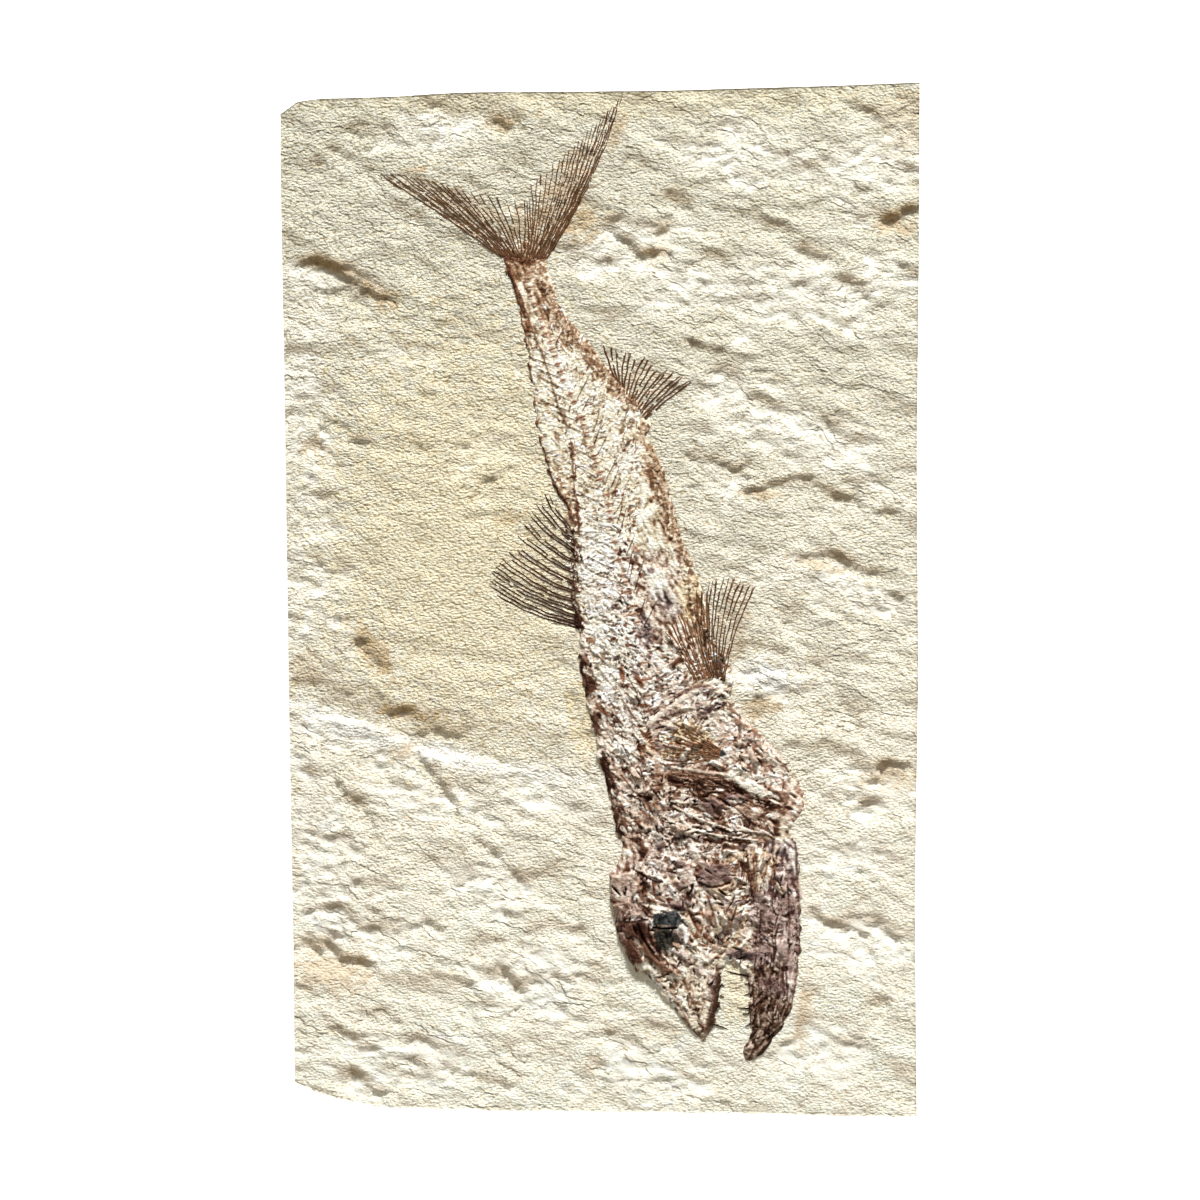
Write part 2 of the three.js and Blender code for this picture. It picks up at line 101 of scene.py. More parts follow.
def noise(x, y, seed=0):
    """Gradient noise, about -1 to 1, with one swell to each unit."""
    x, y = np.broadcast_arrays(np.asarray(x, float), np.asarray(y, float))
    i, j = np.floor(x), np.floor(y)
    fx, fy = x - i, y - j
    u, v = eased(fx), eased(fy)

    def corner(di, dj):
        angle = 2 * math.pi * lattice(i + di, j + dj, seed)
        return np.cos(angle) * (fx - di) + np.sin(angle) * (fy - dj)

    low = corner(0, 0) * (1 - u) + corner(1, 0) * u
    high = corner(0, 1) * (1 - u) + corner(1, 1) * u
    return 1.5 * (low * (1 - v) + high * v)


def noises(x, y, *layers):
    """Sum of layers of noise, each (strength, size across, size along, seed)."""
    return sum(strength * noise(x / across, y / along, seed) for strength, across, along, seed in layers)


def turned(x, y, degrees):
    """Coordinates seen from axes turned anticlockwise."""
    c, s = math.cos(math.radians(degrees)), math.sin(math.radians(degrees))
    return x * c + y * s, y * c - x * s


def ramp(value, low, high):
    """Smooth step from 0 at low to 1 at high."""
    t = np.clip((value - low) / (high - low), 0, 1)
    return t * t * (3 - 2 * t)


def blurred(grid, cells, passes=2):
    """Box blur of a 2-D array."""
    for _ in range(passes):
        for axis in (0, 1):
            padded = np.pad(grid, [(cells, cells) if a == axis else (0, 0) for a in (0, 1)], mode="edge")
            total = np.cumsum(padded, axis=axis)
            total = np.concatenate([np.zeros_like(np.take(total, [0], axis)), total], axis=axis)
            width, size = 2 * cells + 1, grid.shape[axis]
            upper = np.take(total, np.arange(width, width + size), axis)
            grid = (upper - np.take(total, np.arange(size), axis)) / width
    return grid


# ------------------------------------------------------------ CAD outlines

RIM_HEIGHT = 0.7  # share of the bedding face's height over which an edge can be on the rim
SIDE_NORMAL = 0.6  # a face whose normal rises less than this is a side of the plate
WELD = 1e-6  # metres
CURVE_STEPS = 12  # points between two of a curve's own


def cad_tree(node):
    """Tree for casting rays at a CAD node."""
    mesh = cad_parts[node].data
    return BVHTree.FromPolygons([v.co[:] for v in mesh.vertices], [p.vertices[:] for p in mesh.polygons])


def covered(tree, x, y):
    """True for each point that lies over the node."""
    above, down = 1.0, Vector((0, 0, -1))
    starts = zip(x.ravel() * MM, y.ravel() * MM)
    hits = [tree.ray_cast((px, py, above), down)[0] is not None for px, py in starts]
    return np.array(hits).reshape(x.shape)


def rim_of_plate():
    """The edge of the CAD plate's upper face as a closed ring of points, anticlockwise from above."""
    mesh = bmesh.new()
    mesh.from_mesh(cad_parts["matrix_slab"].data)
    bmesh.ops.remove_doubles(mesh, verts=mesh.verts, dist=WELD)
    mesh.normal_update()
    links = {}
    for edge in mesh.edges:
        steep = sorted(face.normal.z for face in edge.link_faces)
        high = min(vertex.co.z for vertex in edge.verts) > RIM_HEIGHT * BEDDING * MM
        if high and steep[0] < SIDE_NORMAL < steep[-1]:
            a, b = edge.verts
            links.setdefault(a.index, []).append(b.index)
            links.setdefault(b.index, []).append(a.index)
    places = {v.index: (v.co.x / MM, v.co.y / MM) for v in mesh.verts}
    mesh.free()
    start = min(links, key=lambda v: places[v])
    ring, before = [start], None
    while True:
        onward = [v for v in links[ring[-1]] if v != before]
        before = ring[-1]
        if not onward or onward[0] == start:
            break
        ring.append(onward[0])
    points = np.array([places[v] for v in ring])
    x, y = points.T
    area = np.sum(x * np.roll(y, -1) - np.roll(x, -1) * y)
    return points if area > 0 else points[::-1]


def resample(points, count):
    """Points spaced evenly along a line."""
    points = np.asarray(points, float)
    lengths = np.concatenate([[0], np.cumsum(np.hypot(*np.diff(points, axis=0).T))])
    at = np.linspace(0, lengths[-1], count)
    return np.stack([np.interp(at, lengths, points[:, k]) for k in (0, 1)], axis=1)


def smooth_line(points, count):
    """Rounded curve through a few points, sampled evenly."""
    p = np.asarray(points, float)
    if len(p) < 3:
        return resample(p, count)
    p = np.vstack([2 * p[0] - p[1], p, 2 * p[-1] - p[-2]])
    pieces = []
    for a, b, c, d in zip(p[:-3], p[1:-2], p[2:-1], p[3:]):
        t = np.linspace(0, 1, CURVE_STEPS, endpoint=False)[:, None]
        square, cube = 2 * a - 5 * b + 4 * c - d, 3 * b - a - 3 * c + d
        pieces.append(0.5 * (2 * b + (c - a) * t + square * t**2 + cube * t**3))
    return resample(np.vstack([*pieces, p[-2:-1]]), count)


# ------------------------------------------------------------ colours


def srgb(red, green, blue):
    """Linear colour from 0-255 screen values."""
    value = np.array([red, green, blue], float) / 255
    return np.where(value <= 0.04045, value / 12.92, ((value + 0.055) / 1.055) ** 2.4)


# STONE_TOP is at the tail end and STONE_BOTTOM at the head end: the stone is painted lighter towards the
# head, as a painted fall of light.
STONE_TOP = srgb(221, 219, 203)
STONE_BOTTOM = srgb(254, 249, 233)
STONE_FRESH = srgb(254, 253, 246)
STONE_PEBBLE = srgb(244, 232, 196)
# Colour of the painted shade in the pits of the grain.
STONE_PIT = srgb(170, 146, 102)
# Tan of stains and of painted shade, then the deeper brown of painted shade.
STONE_TAN_AND_SHADE = srgb(190, 158, 110)
STONE_DEEP_SHADE = srgb(128, 98, 58)
STONE_YELLOW = srgb(236, 212, 150)
TAIL_TAN = srgb(176, 148, 112)

# Each mineral runs from its dark shade through its common one to its pale one (screen values).
MINERALS = {
    "flesh": ((116, 84, 58), (228, 217, 190), (253, 252, 240)),
    "scales": ((88, 56, 36), (166, 134, 104), (246, 234, 212)),
    "gold": ((112, 78, 48), (206, 180, 142), (248, 238, 210)),
    "mixed": ((88, 56, 40), (222, 204, 186), (252, 249, 236)),
    "bone": ((76, 46, 34), (212, 190, 172), (252, 246, 234)),
    "shoulder": ((54, 26, 14), (144, 108, 86), (230, 212, 194)),
    "skull": ((76, 42, 30), (202, 178, 162), (252, 246, 236)),
    "rusty": ((62, 28, 16), (144, 98, 72), (236, 212, 186)),
    "wedge": ((44, 18, 8), (100, 68, 54), (206, 180, 160)),
    "cheek": ((96, 56, 34), (218, 192, 162), (254, 248, 232)),
    "snout": ((98, 66, 46), (230, 214, 192), (252, 248, 232)),
    "jaw": ((66, 38, 32), (146, 120, 112), (224, 208, 200)),
    "dentary": ((44, 22, 12), (98, 72, 56), (184, 162, 146)),
    "blotch": ((50, 36, 38), (150, 128, 122), (242, 234, 224)),
    "pink": ((128, 88, 68), (210, 180, 160), (250, 244, 230)),
    "calcite": ((150, 128, 104), (238, 232, 216), (255, 254, 246)),
    "slate": ((20, 22, 24), (56, 60, 62), (108, 108, 104)),
    "olive": ((16, 12, 8), (48, 42, 32), (104, 94, 80)),
}


def mineral(name):
    """The three shades of a mineral as an array."""
    return np.array(MINERALS[name], float)


MINERALS["drum"] = (mineral("rusty") + 2 * mineral("pink")) / 3  # of a vertebra


# ------------------------------------------------------------ canvas of the fish

CELL = 0.2  # size of a cell of the fish's relief
MARGIN = 2.0
CLOSING = 7  # cells: gaps up to twice this wide between bones are filled
FLAKE_POINT = 1.3  # below 2 a flake's ends are pointed
FLAKE_EDGE = 3.5  # how sharply a flake ends
FLOW_REACH = 1.5  # squared distance within which an entry of FLOW holds whole
FLOW_WANDER = 0.35  # radians

BONES_ON_SKIN = [
    "spine_column", "shoulder_girdle", "coracoid_plate",
    *[f"back_scute_{k}" for k in range(1, 8)],
]
HEAD_BONES = ["eye_upper", "eye_lower", "upper_jaw", "lower_jaw", "skull_roof", "gill_cover", "cheek_bones"]
RELIEF_NODES = [*BONES_ON_SKIN, *HEAD_BONES, "hypural_plate", "body_skin"]

# Open gape between the jaws, where only teeth stand.
GAPE = [
    (24.9, -75.4), (26, -73.8), (27, -75.7), (28.2, -74.3), (29.5, -75.6), (30.2, -78), (30.3, -86),
    (29.2, -91.4), (24, -91), (23.6, -86), (24.4, -80),
]

# Crushed bone that joins the larger bones: the node it belongs to and its outline.
FILLS = [
    ("body_skin", [(-19.8, 70), (-18.4, 72.4), (-15.6, 73), (-12.6, 72.4), (-11, 70.4), (-11.6, 66),
                   (-19.2, 66)]),
    ("body_skin", [(-7.6, 17), (-4, 17), (-3, 0), (-3, -6.4), (-5, -5.8), (-6.2, 2), (-6.4, 10)]),
    ("body_skin", [(2, 44), (4.6, 44), (8.4, 40.2), (11, 35.4), (8, 33), (0, 40)]),
    ("body_skin", [(-8.2, 60), (-6.6, 57.8), (-5, 55.6), (-2.2, 52.4), (0.8, 48.4), (3.6, 45), (6.4, 42),
                   (8, 39.4), (8.9, 36.6), (4, 36), (-2, 44), (-8, 54)]),
    ("body_skin", [(18, -8), (24, -9), (26.8, -13), (27.2, -19), (20, -20)]),
    ("skull_roof", [(4.6, -48.6), (16, -48.6), (17, -59), (8, -59), (3.8, -53.8)]),
    ("cheek_bones", [(9, -56), (26, -55), (30, -66), (31.4, -75.6), (24.6, -76.4), (18, -80.6), (9.6, -72),
                     (9, -64)]),
    ("upper_jaw", [(8, -72), (12, -72), (24.4, -74), (24.8, -80), (23, -86.6), (21, -90.2), (18, -87),
                   (11.6, -79)]),
    ("gill_cover", [(14, -48.6), (40, -48.4), (41, -56), (14, -58)]),
    ("lower_jaw", [(30, -58), (41, -56), (41, -72), (30.4, -76)]),
]

# Which way the bones and fibres run: place and angle.
FLOW = [
    (-16, 68, -72), (-13, 58, -72), (-9, 50, -70), (-11, 42, -35), (-3, 46, 62), (-7, 30, -28),
    (0, 36, 65), (5, 30, 60), (10, 26, -60), (-3, 18, -28), (6, 22, 68), (14, 14, -70), (-3, 6, -15),
    (2, 0, -25), (8, 4, -60), (10, -8, -55), (18, 0, -60), (0, -14, -45), (6, -20, -45), (2, -30, -50),
    (12, -20, 20), (18, -20, 25), (16, -30, 15), (10, -36, -40), (30, -26, -40), (36, -36, -50),
    (24, -34, -12), (26, -39, -14), (34, -44, -30), (22, -44, -20), (8, -46, -45), (28, -48, -5),
    (6, -56, -75), (12, -57, -45), (20, -54, -30), (24, -56, 0), (32, -54, 70), (36, -58, -70),
    (20, -62, -60), (25, -66, -70), (29, -64, 40), (34, -66, -35), (5, -68, -80), (10, -72, -50),
    (18, -74, -45), (25, -73, 20), (34, -78, -75), (36, -84, -110), (31, -91, 60), (17, -84, -60),
    (23, -82, -85), (39.5, -70, -88),
]

# Zones of each mineral: name, middle, radii, lean. Later zones cover earlier ones.
ZONES = [
    ("scales", (-15, 70), (6, 5.5), 0),
    ("scales", (-9.6, 58), (2.6, 9), 15),
    ("scales", (-5, 54.5), (5, 2.4), -50),
    ("scales", (1.5, 46.5), (7.5, 2.8), -52),
    ("scales", (11, 28), (3.2, 9), 18),
    ("scales", (15.5, 14), (2.8, 8), 16),
    ("scales", (-7.5, 20), (2.4, 6), 10),
    ("mixed", (8, 3), (12, 8), 0),
    ("mixed", (7, -9), (14, 9), 0),
    ("bone", (11, -24), (16, 12), 0),
    ("bone", (20, -38), (22, 14), 0),
    ("calcite", (-1.5, 11), (3, 7), 5),
    ("calcite", (5, 28.5), (1.4, 4), 0),
    ("calcite", (-7.5, 47), (1.6, 5), 20),
    ("calcite", (12, 3), (2.2, 3.2), 30),
    ("calcite", (1, -10), (3.6, 10), 14),
    ("mixed", (3, -30), (4, 12), 20),
    ("gold", (18.5, 0), (3.6, 5), 0),
    ("gold", (17.5, -29), (5.5, 4.4), 0),
    ("blotch", (8.4, -7), (2.4, 3.6), -10),
    ("blotch", (14, -0.5), (2, 3.4), 35),
    ("mixed", (8, -15.5), (4.6, 2.6), -20),
    ("rusty", (9, -29), (2.2, 4), 20),
    ("pink", (31, -29.5), (7, 5), -42),
    ("pink", (39, -41), (3.4, 6), 20),
    ("shoulder", (26, -38.6), (12, 3.4), -14),
    ("shoulder", (16, -38), (6, 4), 0),
    ("shoulder", (28, -44.5), (9, 3.4), -15),
    ("shoulder", (22, -49.8), (18, 1.6), 0),
    ("shoulder", (6, -47), (4.4, 4), 0),
    ("calcite", (27, -35), (9, 0.8), -14),
    ("skull", (13, -61), (15, 13), 0),
    ("cheek", (25, -65), (8, 11), 0),
    ("blotch", (37, -53), (4.6, 5), 0),
    ("jaw", (36, -66), (6, 13.5), 0),
    ("dentary", (34, -81.5), (5.4, 8), 6),
    ("dentary", (32, -91), (4, 5), -28),
    ("snout", (17, -80), (9, 7), -40),
    ("cheek", (31, -54), (5, 4.4), 0),
    ("shoulder", (23, -55.4), (5, 3), 0),
    ("wedge", (7, -68.6), (4.4, 3.6), 0),
    ("rusty", (9.4, -57.6), (2, 1.8), 0),
    ("rusty", (13.6, -61.6), (3.6, 0.9), -5),
    ("rusty", (37, -71.4), (2.2, 2.6), 0),
    ("rusty", (20.5, -67), (2, 3.6), 12),
    ("snout", (26.6, -73.6), (5, 2.8), 0),
    ("jaw", (23.6, -81), (1.5, 5.6), 9),
    ("calcite", (17, -67.6), (1.3, 3), 0),
]


def widened(mask, steps):
    """Mask grown by a number of cells."""
    for _ in range(steps):
        grown = mask.copy()
        grown[1:] |= mask[:-1]
        grown[:-1] |= mask[1:]
        grown[:, 1:] |= mask[:, :-1]
        grown[:, :-1] |= mask[:, 1:]
        mask = grown
    return mask


def inside(points, x, y):
    """True for each place inside an outline."""
    found = np.zeros(x.shape, bool)
    for (ax, ay), (bx, by) in zip(points, [*points[1:], points[0]]):
        crosses = (ay > y) != (by > y)
        edge = ax + (y - ay) * (bx - ax) / (by - ay if by != ay else 1e-9)
        found ^= crosses & (x < edge)
    return found


class Canvas:
    """Height, tone, mineral and owner of each cell of the pressed fish. Bones are painted, then cut out.

    Tone runs from 0, the mineral's dark shade, to 1, its pale one; below 0 it grows blacker.
    """

    def __init__(self):
        low = np.min([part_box(n)[0] for n in RELIEF_NODES], axis=0)[:2] / MM - MARGIN
        high = np.max([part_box(n)[1] for n in RELIEF_NODES], axis=0)[:2] / MM + MARGIN
        self.low = low
        self.shape = tuple(np.ceil((high - low) / CELL).astype(int)[::-1])
        rows, columns = self.shape
        self.x, self.y = np.meshgrid(low[0] + CELL * np.arange(columns), low[1] + CELL * np.arange(rows))
        self.owner = self.find_owners()
        self.angle = self.flow()
        self.shades = np.ones((*self.shape, 3, 3)) * mineral("flesh")
        fine, coarse = self.fibres(0.2, 4), self.fibres(0.7, 5)
        blotch = noises(self.x, self.y, (1, 3.4, 3.4, 13), (0.9, 1.3, 1.3, 14))
        speck = noise(self.x / 0.6, self.y / 0.6, 19)
        mixed = 0.7 * fine + 0.6 * coarse + 1.9 * blotch + 1.3 * speck
        order = np.argsort(np.argsort(mixed.ravel()))
        share = (order / order.size).reshape(self.shape)
        pale = 0.7 + 0.4 * ramp(10 - self.y, 0, 30)  # the trunk is paler than the head
        self.tone = 0.08 + 0.92 * share**pale
        rough = 1 - 0.5 * ramp(self.y, 5, 25)
        self.height = self.base_height() + rough * (0.05 * fine + 0.07 * coarse + 0.1 * blotch)

    def find_owners(self):
        """Number of each cell's CAD node, or -1. Outlines are roughened and narrow gaps closed."""
        rough_x = self.x + noises(self.x, self.y, (0.6, 1.6, 1.6, 1), (0.3, 0.6, 0.6, 2))
        rough_y = self.y + noises(self.x, self.y, (0.6, 1.6, 1.6, 3), (0.3, 0.6, 0.6, 4))
        owner = np.full(self.shape, -1)
        for number, node in reversed(list(enumerate(RELIEF_NODES))):
            low, high = (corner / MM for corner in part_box(node))
            near = (self.x > low.x - 1) & (self.x < high.x + 1)
            near &= (self.y > low.y - 1) & (self.y < high.y + 1)
            hit = np.zeros(self.shape, bool)
            hit[near] = covered(cad_tree(node), rough_x[near], rough_y[near])
            owner[hit] = number
        for node, outline in FILLS:
            owner[(owner < 0) & inside(outline, rough_x, rough_y)] = RELIEF_NODES.index(node)
        closed = ~widened(~widened(owner >= 0, CLOSING), CLOSING)
        for _ in range(CLOSING):
            for axis, shift in ((0, 1), (0, -1), (1, 1), (1, -1)):
                owner = np.where(closed & (owner < 0), np.roll(owner, shift, axis), owner)
        owner[inside(GAPE, rough_x, rough_y)] = -1
        return owner

    def flow(self):
        """Angle of the fibres in each cell, blended from FLOW."""
        total_c, total_s = np.zeros(self.shape), np.zeros(self.shape)
        for x, y, degrees in FLOW:
            weight = 1 / ((self.x - x) ** 2 + (self.y - y) ** 2 + FLOW_REACH) ** 2
            total_c += weight * math.cos(math.radians(2 * degrees))
            total_s += weight * math.sin(math.radians(2 * degrees))
        return 0.5 * np.arctan2(total_s, total_c) + FLOW_WANDER * noise(self.x / 2.5, self.y / 2.5, 15)

    def cells_at(self, x, y):
        """Row and column of the cell at each place, or of the nearest one."""
        row, column = ((y - self.low[1]) / CELL).astype(int), ((x - self.low[0]) / CELL).astype(int)
        return np.clip(row, 0, self.shape[0] - 1), np.clip(column, 0, self.shape[1] - 1)

    def fibres(self, size, reach):
        """Streaks along the flow: random grain of a size smeared over a number of cells each way."""
        grain = RNG.normal(0, 1, self.shape)
        grain = blurred(grain, max(int(size / CELL / 2), 1), 1)
        rows, columns = self.shape
        row0, column0 = np.mgrid[0:rows, 0:columns].astype(float)
        total = grain.copy()
        for way in (-1, 1):
            row, column = row0.copy(), column0.copy()
            for _ in range(reach):
                r, c = row.astype(int) % rows, column.astype(int) % columns
                row += way * np.sin(self.angle[r, c])
                column += way * np.cos(self.angle[r, c])
                total += grain[row.astype(int) % rows, column.astype(int) % columns]
        return total / total.std()

    def base_height(self):
        """Smooth ground of the fish: thin on the trunk, thicker on the skull, sunk at its edge."""
        skull = ramp(NECK_Y + 3 - self.y, 0, 7)
        thick = TRUNK_RISE * (1 - skull) + SKULL_RISE * skull
        thick = thick * (1 - 0.8 * ramp(self.y, 63, 70))  # the tail's root is thin
        corner_of_gape = np.exp(-((self.x - 27) / 3.4) ** 2 - ((self.y + 73.8) / 2.6) ** 2)
        thick -= 0.75 * SKULL_RISE * corner_of_gape
        swell = noises(self.x, self.y, (0.12, 5, 5, 11), (0.08, 2, 2, 12))
        owned = self.owner >= 0
        near, far = blurred(owned.astype(float), 2, 1), blurred(owned.astype(float), 5, 2)
        self.base = (thick + swell) * ramp(far, 0.45, 0.98) - EDGE_SINK * (1 - ramp(near, 0.3, 0.9))
        return self.base.copy()

    def window(self, x0, y0, x1, y1):
        """Slices of the cells inside a box."""
        c0, c1 = int((x0 - self.low[0]) / CELL), int((x1 - self.low[0]) / CELL) + 2
        r0, r1 = int((y0 - self.low[1]) / CELL), int((y1 - self.low[1]) / CELL) + 2
        rows, columns = self.shape
        return slice(max(r0, 0), min(max(r1, 0), rows)), slice(max(c0, 0), min(max(c1, 0), columns))

    def lay(self, part, cover, tone, rise, name=None):
        """Mixes a tone, a rise over the ground and perhaps a mineral into the cells of a window."""
        self.tone[part] += cover * (tone - self.tone[part])
        self.height[part] += cover * (self.base[part] + rise - self.height[part])
        self.stain(part, cover, name)

    def stain(self, part, cover, name):
        """Mixes a mineral, if there is a name, into the cells of a window."""
        if name:
            self.shades[part] += cover[..., None, None] * (mineral(name) - self.shades[part])

    def zone(self, name, middle, radii, lean):
        """Gives an oval zone its mineral; the edge is ragged."""
        reach = max(radii) * 1.5
        part = self.window(middle[0] - reach, middle[1] - reach, middle[0] + reach, middle[1] + reach)
        x, y = self.x[part], self.y[part]
        u, w = turned(x - middle[0], y - middle[1], lean)
        ragged = noises(x, y, (0.28, 2, 2, 16), (0.14, 0.7, 0.7, 17))
        self.stain(part, 1 - ramp(np.hypot(u / radii[0], w / radii[1]) + ragged, 0.8, 1.12), name)

    def flake(self, x, y, length, width, degrees, tone, rise, tilt=(0, 0), name=None):
        """Pointed flake of bone, leaning by tilt."""
        part = self.window(x - length / 2, y - length / 2, x + length / 2, y + length / 2)
        dx, dy = self.x[part] - x, self.y[part] - y
        if not dx.size:
            return
        u, w = turned(dx, dy, degrees)
        reach = np.abs(2 * u / length) ** FLAKE_POINT + np.abs(2 * w / width) ** FLAKE_POINT
        cover = np.clip((1 - reach) * FLAKE_EDGE, 0, 1)
        self.lay(part, cover, tone, rise + tilt[0] * dx + tilt[1] * dy, name)

    def line(self, points, width, tone, rise, cover=1.0, taper=0.0, name=None):
        """Line of bone along a curve; taper is how much of its width it loses by its far end."""
        points = np.asarray(points, float)
        pad = width + 0.5
        part = self.window(*(points.min(0) - pad), *(points.max(0) + pad))
        x, y = self.x[part], self.y[part]
        if not x.size:
            return
        best = np.full(x.shape, np.inf)
        for k, (a, b) in enumerate(zip(points[:-1], points[1:])):
            run = b - a
            t = np.clip(((x - a[0]) * run[0] + (y - a[1]) * run[1]) / max(run @ run, 1e-9), 0, 1)
            away = np.hypot(x - a[0] - t * run[0], y - a[1] - t * run[1])
            share = 1 - taper * (k + t) / (len(points) - 1)
            best = np.minimum(best, away / np.maximum(share, 0.15))
        best = best / (width / 2) + noises(x, y, (0.25, 0.5, 0.5, 18), (0.35, 1.5, 1.5, 26))
        self.lay(part, np.clip(1.4 - best, 0, 1) * cover, tone, rise * np.clip(1.7 - best, 0, 1), name)

    def patch(self, points, tone, rise, tilt=(0, 0), cover=0.8, name=None):
        """Plate of bone inside an outline, which keeps some of the texture under it."""
        points = np.asarray(points, float)
        part = self.window(*(points.min(0) - 1), *(points.max(0) + 1))
        x, y = self.x[part], self.y[part]
        rough_x, rough_y = (place + 0.5 * noise(x / 1.1, y / 1.1, seed) for place, seed in ((x, 7), (y, 8)))
        alpha = blurred(inside(points.tolist(), rough_x, rough_y).astype(float), 1, 1)
        middle = points.mean(0)
        lean = tilt[0] * (x - middle[0]) + tilt[1] * (y - middle[1])
        fibre = 0.35 * (self.height[part] - self.base[part])
        self.tone[part] += alpha * cover * (tone + 0.3 * (self.tone[part] - 0.5) - self.tone[part])
        self.height[part] += alpha * (self.base[part] + rise + lean + fibre - self.height[part])
        self.stain(part, alpha, name)

    def color(self):
        """Linear colour of every cell."""
        tone = self.tone[..., None]
        dark, common, pale = (self.shades[..., k, :] for k in range(3))
        lower, upper = dark + (common - dark) * 2 * tone, common + (pale - common) * (2 * tone - 1)
        screen = np.where(tone < 0.5, lower, upper)
        screen = np.where(tone < 0, dark * (1 + tone), screen)
        return srgb(*np.moveaxis(np.clip(screen, 4, 250), -1, 0)).transpose(1, 2, 0)


NECK_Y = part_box("gill_cover")[1].y / MM
TRUNK_RISE = 0.7 * (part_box("body_skin")[1].z / MM - BEDDING)
SKULL_RISE = 0.55 * (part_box("skull_roof")[1].z / MM - BEDDING)
EDGE_SINK = 0.35  # how far the very edge of the fish lies under the bedding face

canvas = Canvas()
for zone in ZONES:
    canvas.zone(*zone)


MOSTLY_SMALL = 1.6  # above 1, more flakes are near their least size than near their most
FLAKE_TILT = 0.13  # spread of a flake's slope
PLATE_TILT = 0.26


def strew(count, middle, radii, length, width, tones, rise, spread, name=None):
    """Flakes strewn over an oval along the fibres. Length, width, tones and rise are (least, most)."""
    angle = RNG.uniform(0, 2 * math.pi, count)
    reach = np.sqrt(RNG.uniform(0, 1, count))
    x = middle[0] + radii[0] * reach * np.cos(angle)
    y = middle[1] + radii[1] * reach * np.sin(angle)
    degrees = np.degrees(canvas.angle[canvas.cells_at(x, y)]) + RNG.normal(0, spread, count)
    size = RNG.uniform(0, 1, (2, count)) ** MOSTLY_SMALL
    long, wide = (least + (most - least) * s for (least, most), s in zip((length, width), size))
    tone, lift = RNG.uniform(*tones, count), RNG.uniform(*rise, count)
    tone += 0.5 * noise(x / 3.2, y / 3.2, 23)
    degrees += 50 * noise(x / 4, y / 4, 24)
    tilt = RNG.normal(0, FLAKE_TILT, (count, 2))
    for k in range(count):
        canvas.flake(x[k], y[k], long[k], wide[k], degrees[k], tone[k], lift[k], tilt[k], name)


def strew_plates(count, middle, radii, size, names):
    """Angular plates of bone of mixed minerals strewn over an oval; size is (least, most) half width."""
    for _ in range(count):
        angle, reach = RNG.uniform(0, 2 * math.pi), math.sqrt(RNG.uniform(0, 1))
        x = middle[0] + radii[0] * reach * np.cos(angle)
        y = middle[1] + radii[1] * reach * np.sin(angle)
        corners = np.sort(RNG.uniform(0, 2 * math.pi, RNG.integers(4, 7)))
        half = RNG.uniform(*size)
        u, v = 1.9 * half * np.cos(corners), 0.5 * half * np.sin(corners)
        flow = canvas.angle[canvas.cells_at(x, y)]
        lean = math.degrees(flow) + 60 * noise(x / 5, y / 5, 28) + RNG.normal(0, 14)
        px, py = turned(u, v, -lean)
        tone = RNG.uniform(0.0, 0.4) if RNG.random() < 0.5 else RNG.uniform(0.6, 1.0)
        rise, tilt = RNG.uniform(0.1, 0.6), RNG.normal(0, PLATE_TILT, 2)
        name = names[RNG.integers(len(names))]
        canvas.patch(np.column_stack([x + px, y + py]), tone, rise, tilt, 0.8, name)


def drawn(value):
    """A random number between a pair, a random one of a list, or the number itself."""
    if isinstance(value, tuple):
        return RNG.uniform(*value)
    return RNG.choice(value) if isinstance(value, list) else value


def add_chip(spot, length, width, lean, tone, rise, name=None, tilt=0.0):
    """One flake at a spot. Lean is its angle's mean and spread; its sizes are as drawn() takes them."""
    size = drawn(length), drawn(width)
    degrees = RNG.normal(*lean)
    tone, rise = drawn(tone), drawn(rise)
    slope = RNG.normal(0, tilt, 2) if tilt else (0, 0)
    canvas.flake(*spot, *size, degrees, tone, rise, slope, name)


def add_scratches(count, x, y, across, down, width, tone, rise, cover, taper=0.0):
    """Short straight lines strewn over a box, each running a little across and down the slab."""
    for _ in range(count):
        start = np.array([drawn(x), drawn(y)])
        end = start + (drawn(across), -drawn(down))
        canvas.line([start, end], drawn(width), drawn(tone), rise, cover, taper)


# ------------------------------------------------------------ shape of the fins

RAY_BROWN = srgb(112, 78, 52)
RAY_DARK = srgb(50, 26, 14)
RAY_RUST = srgb(138, 98, 70)
RAY_STEP = 0.55  # spacing of the points along a ray
RAY_HEIGHT = 0.18
WAVE = 0.22  # how far a ray wanders sideways

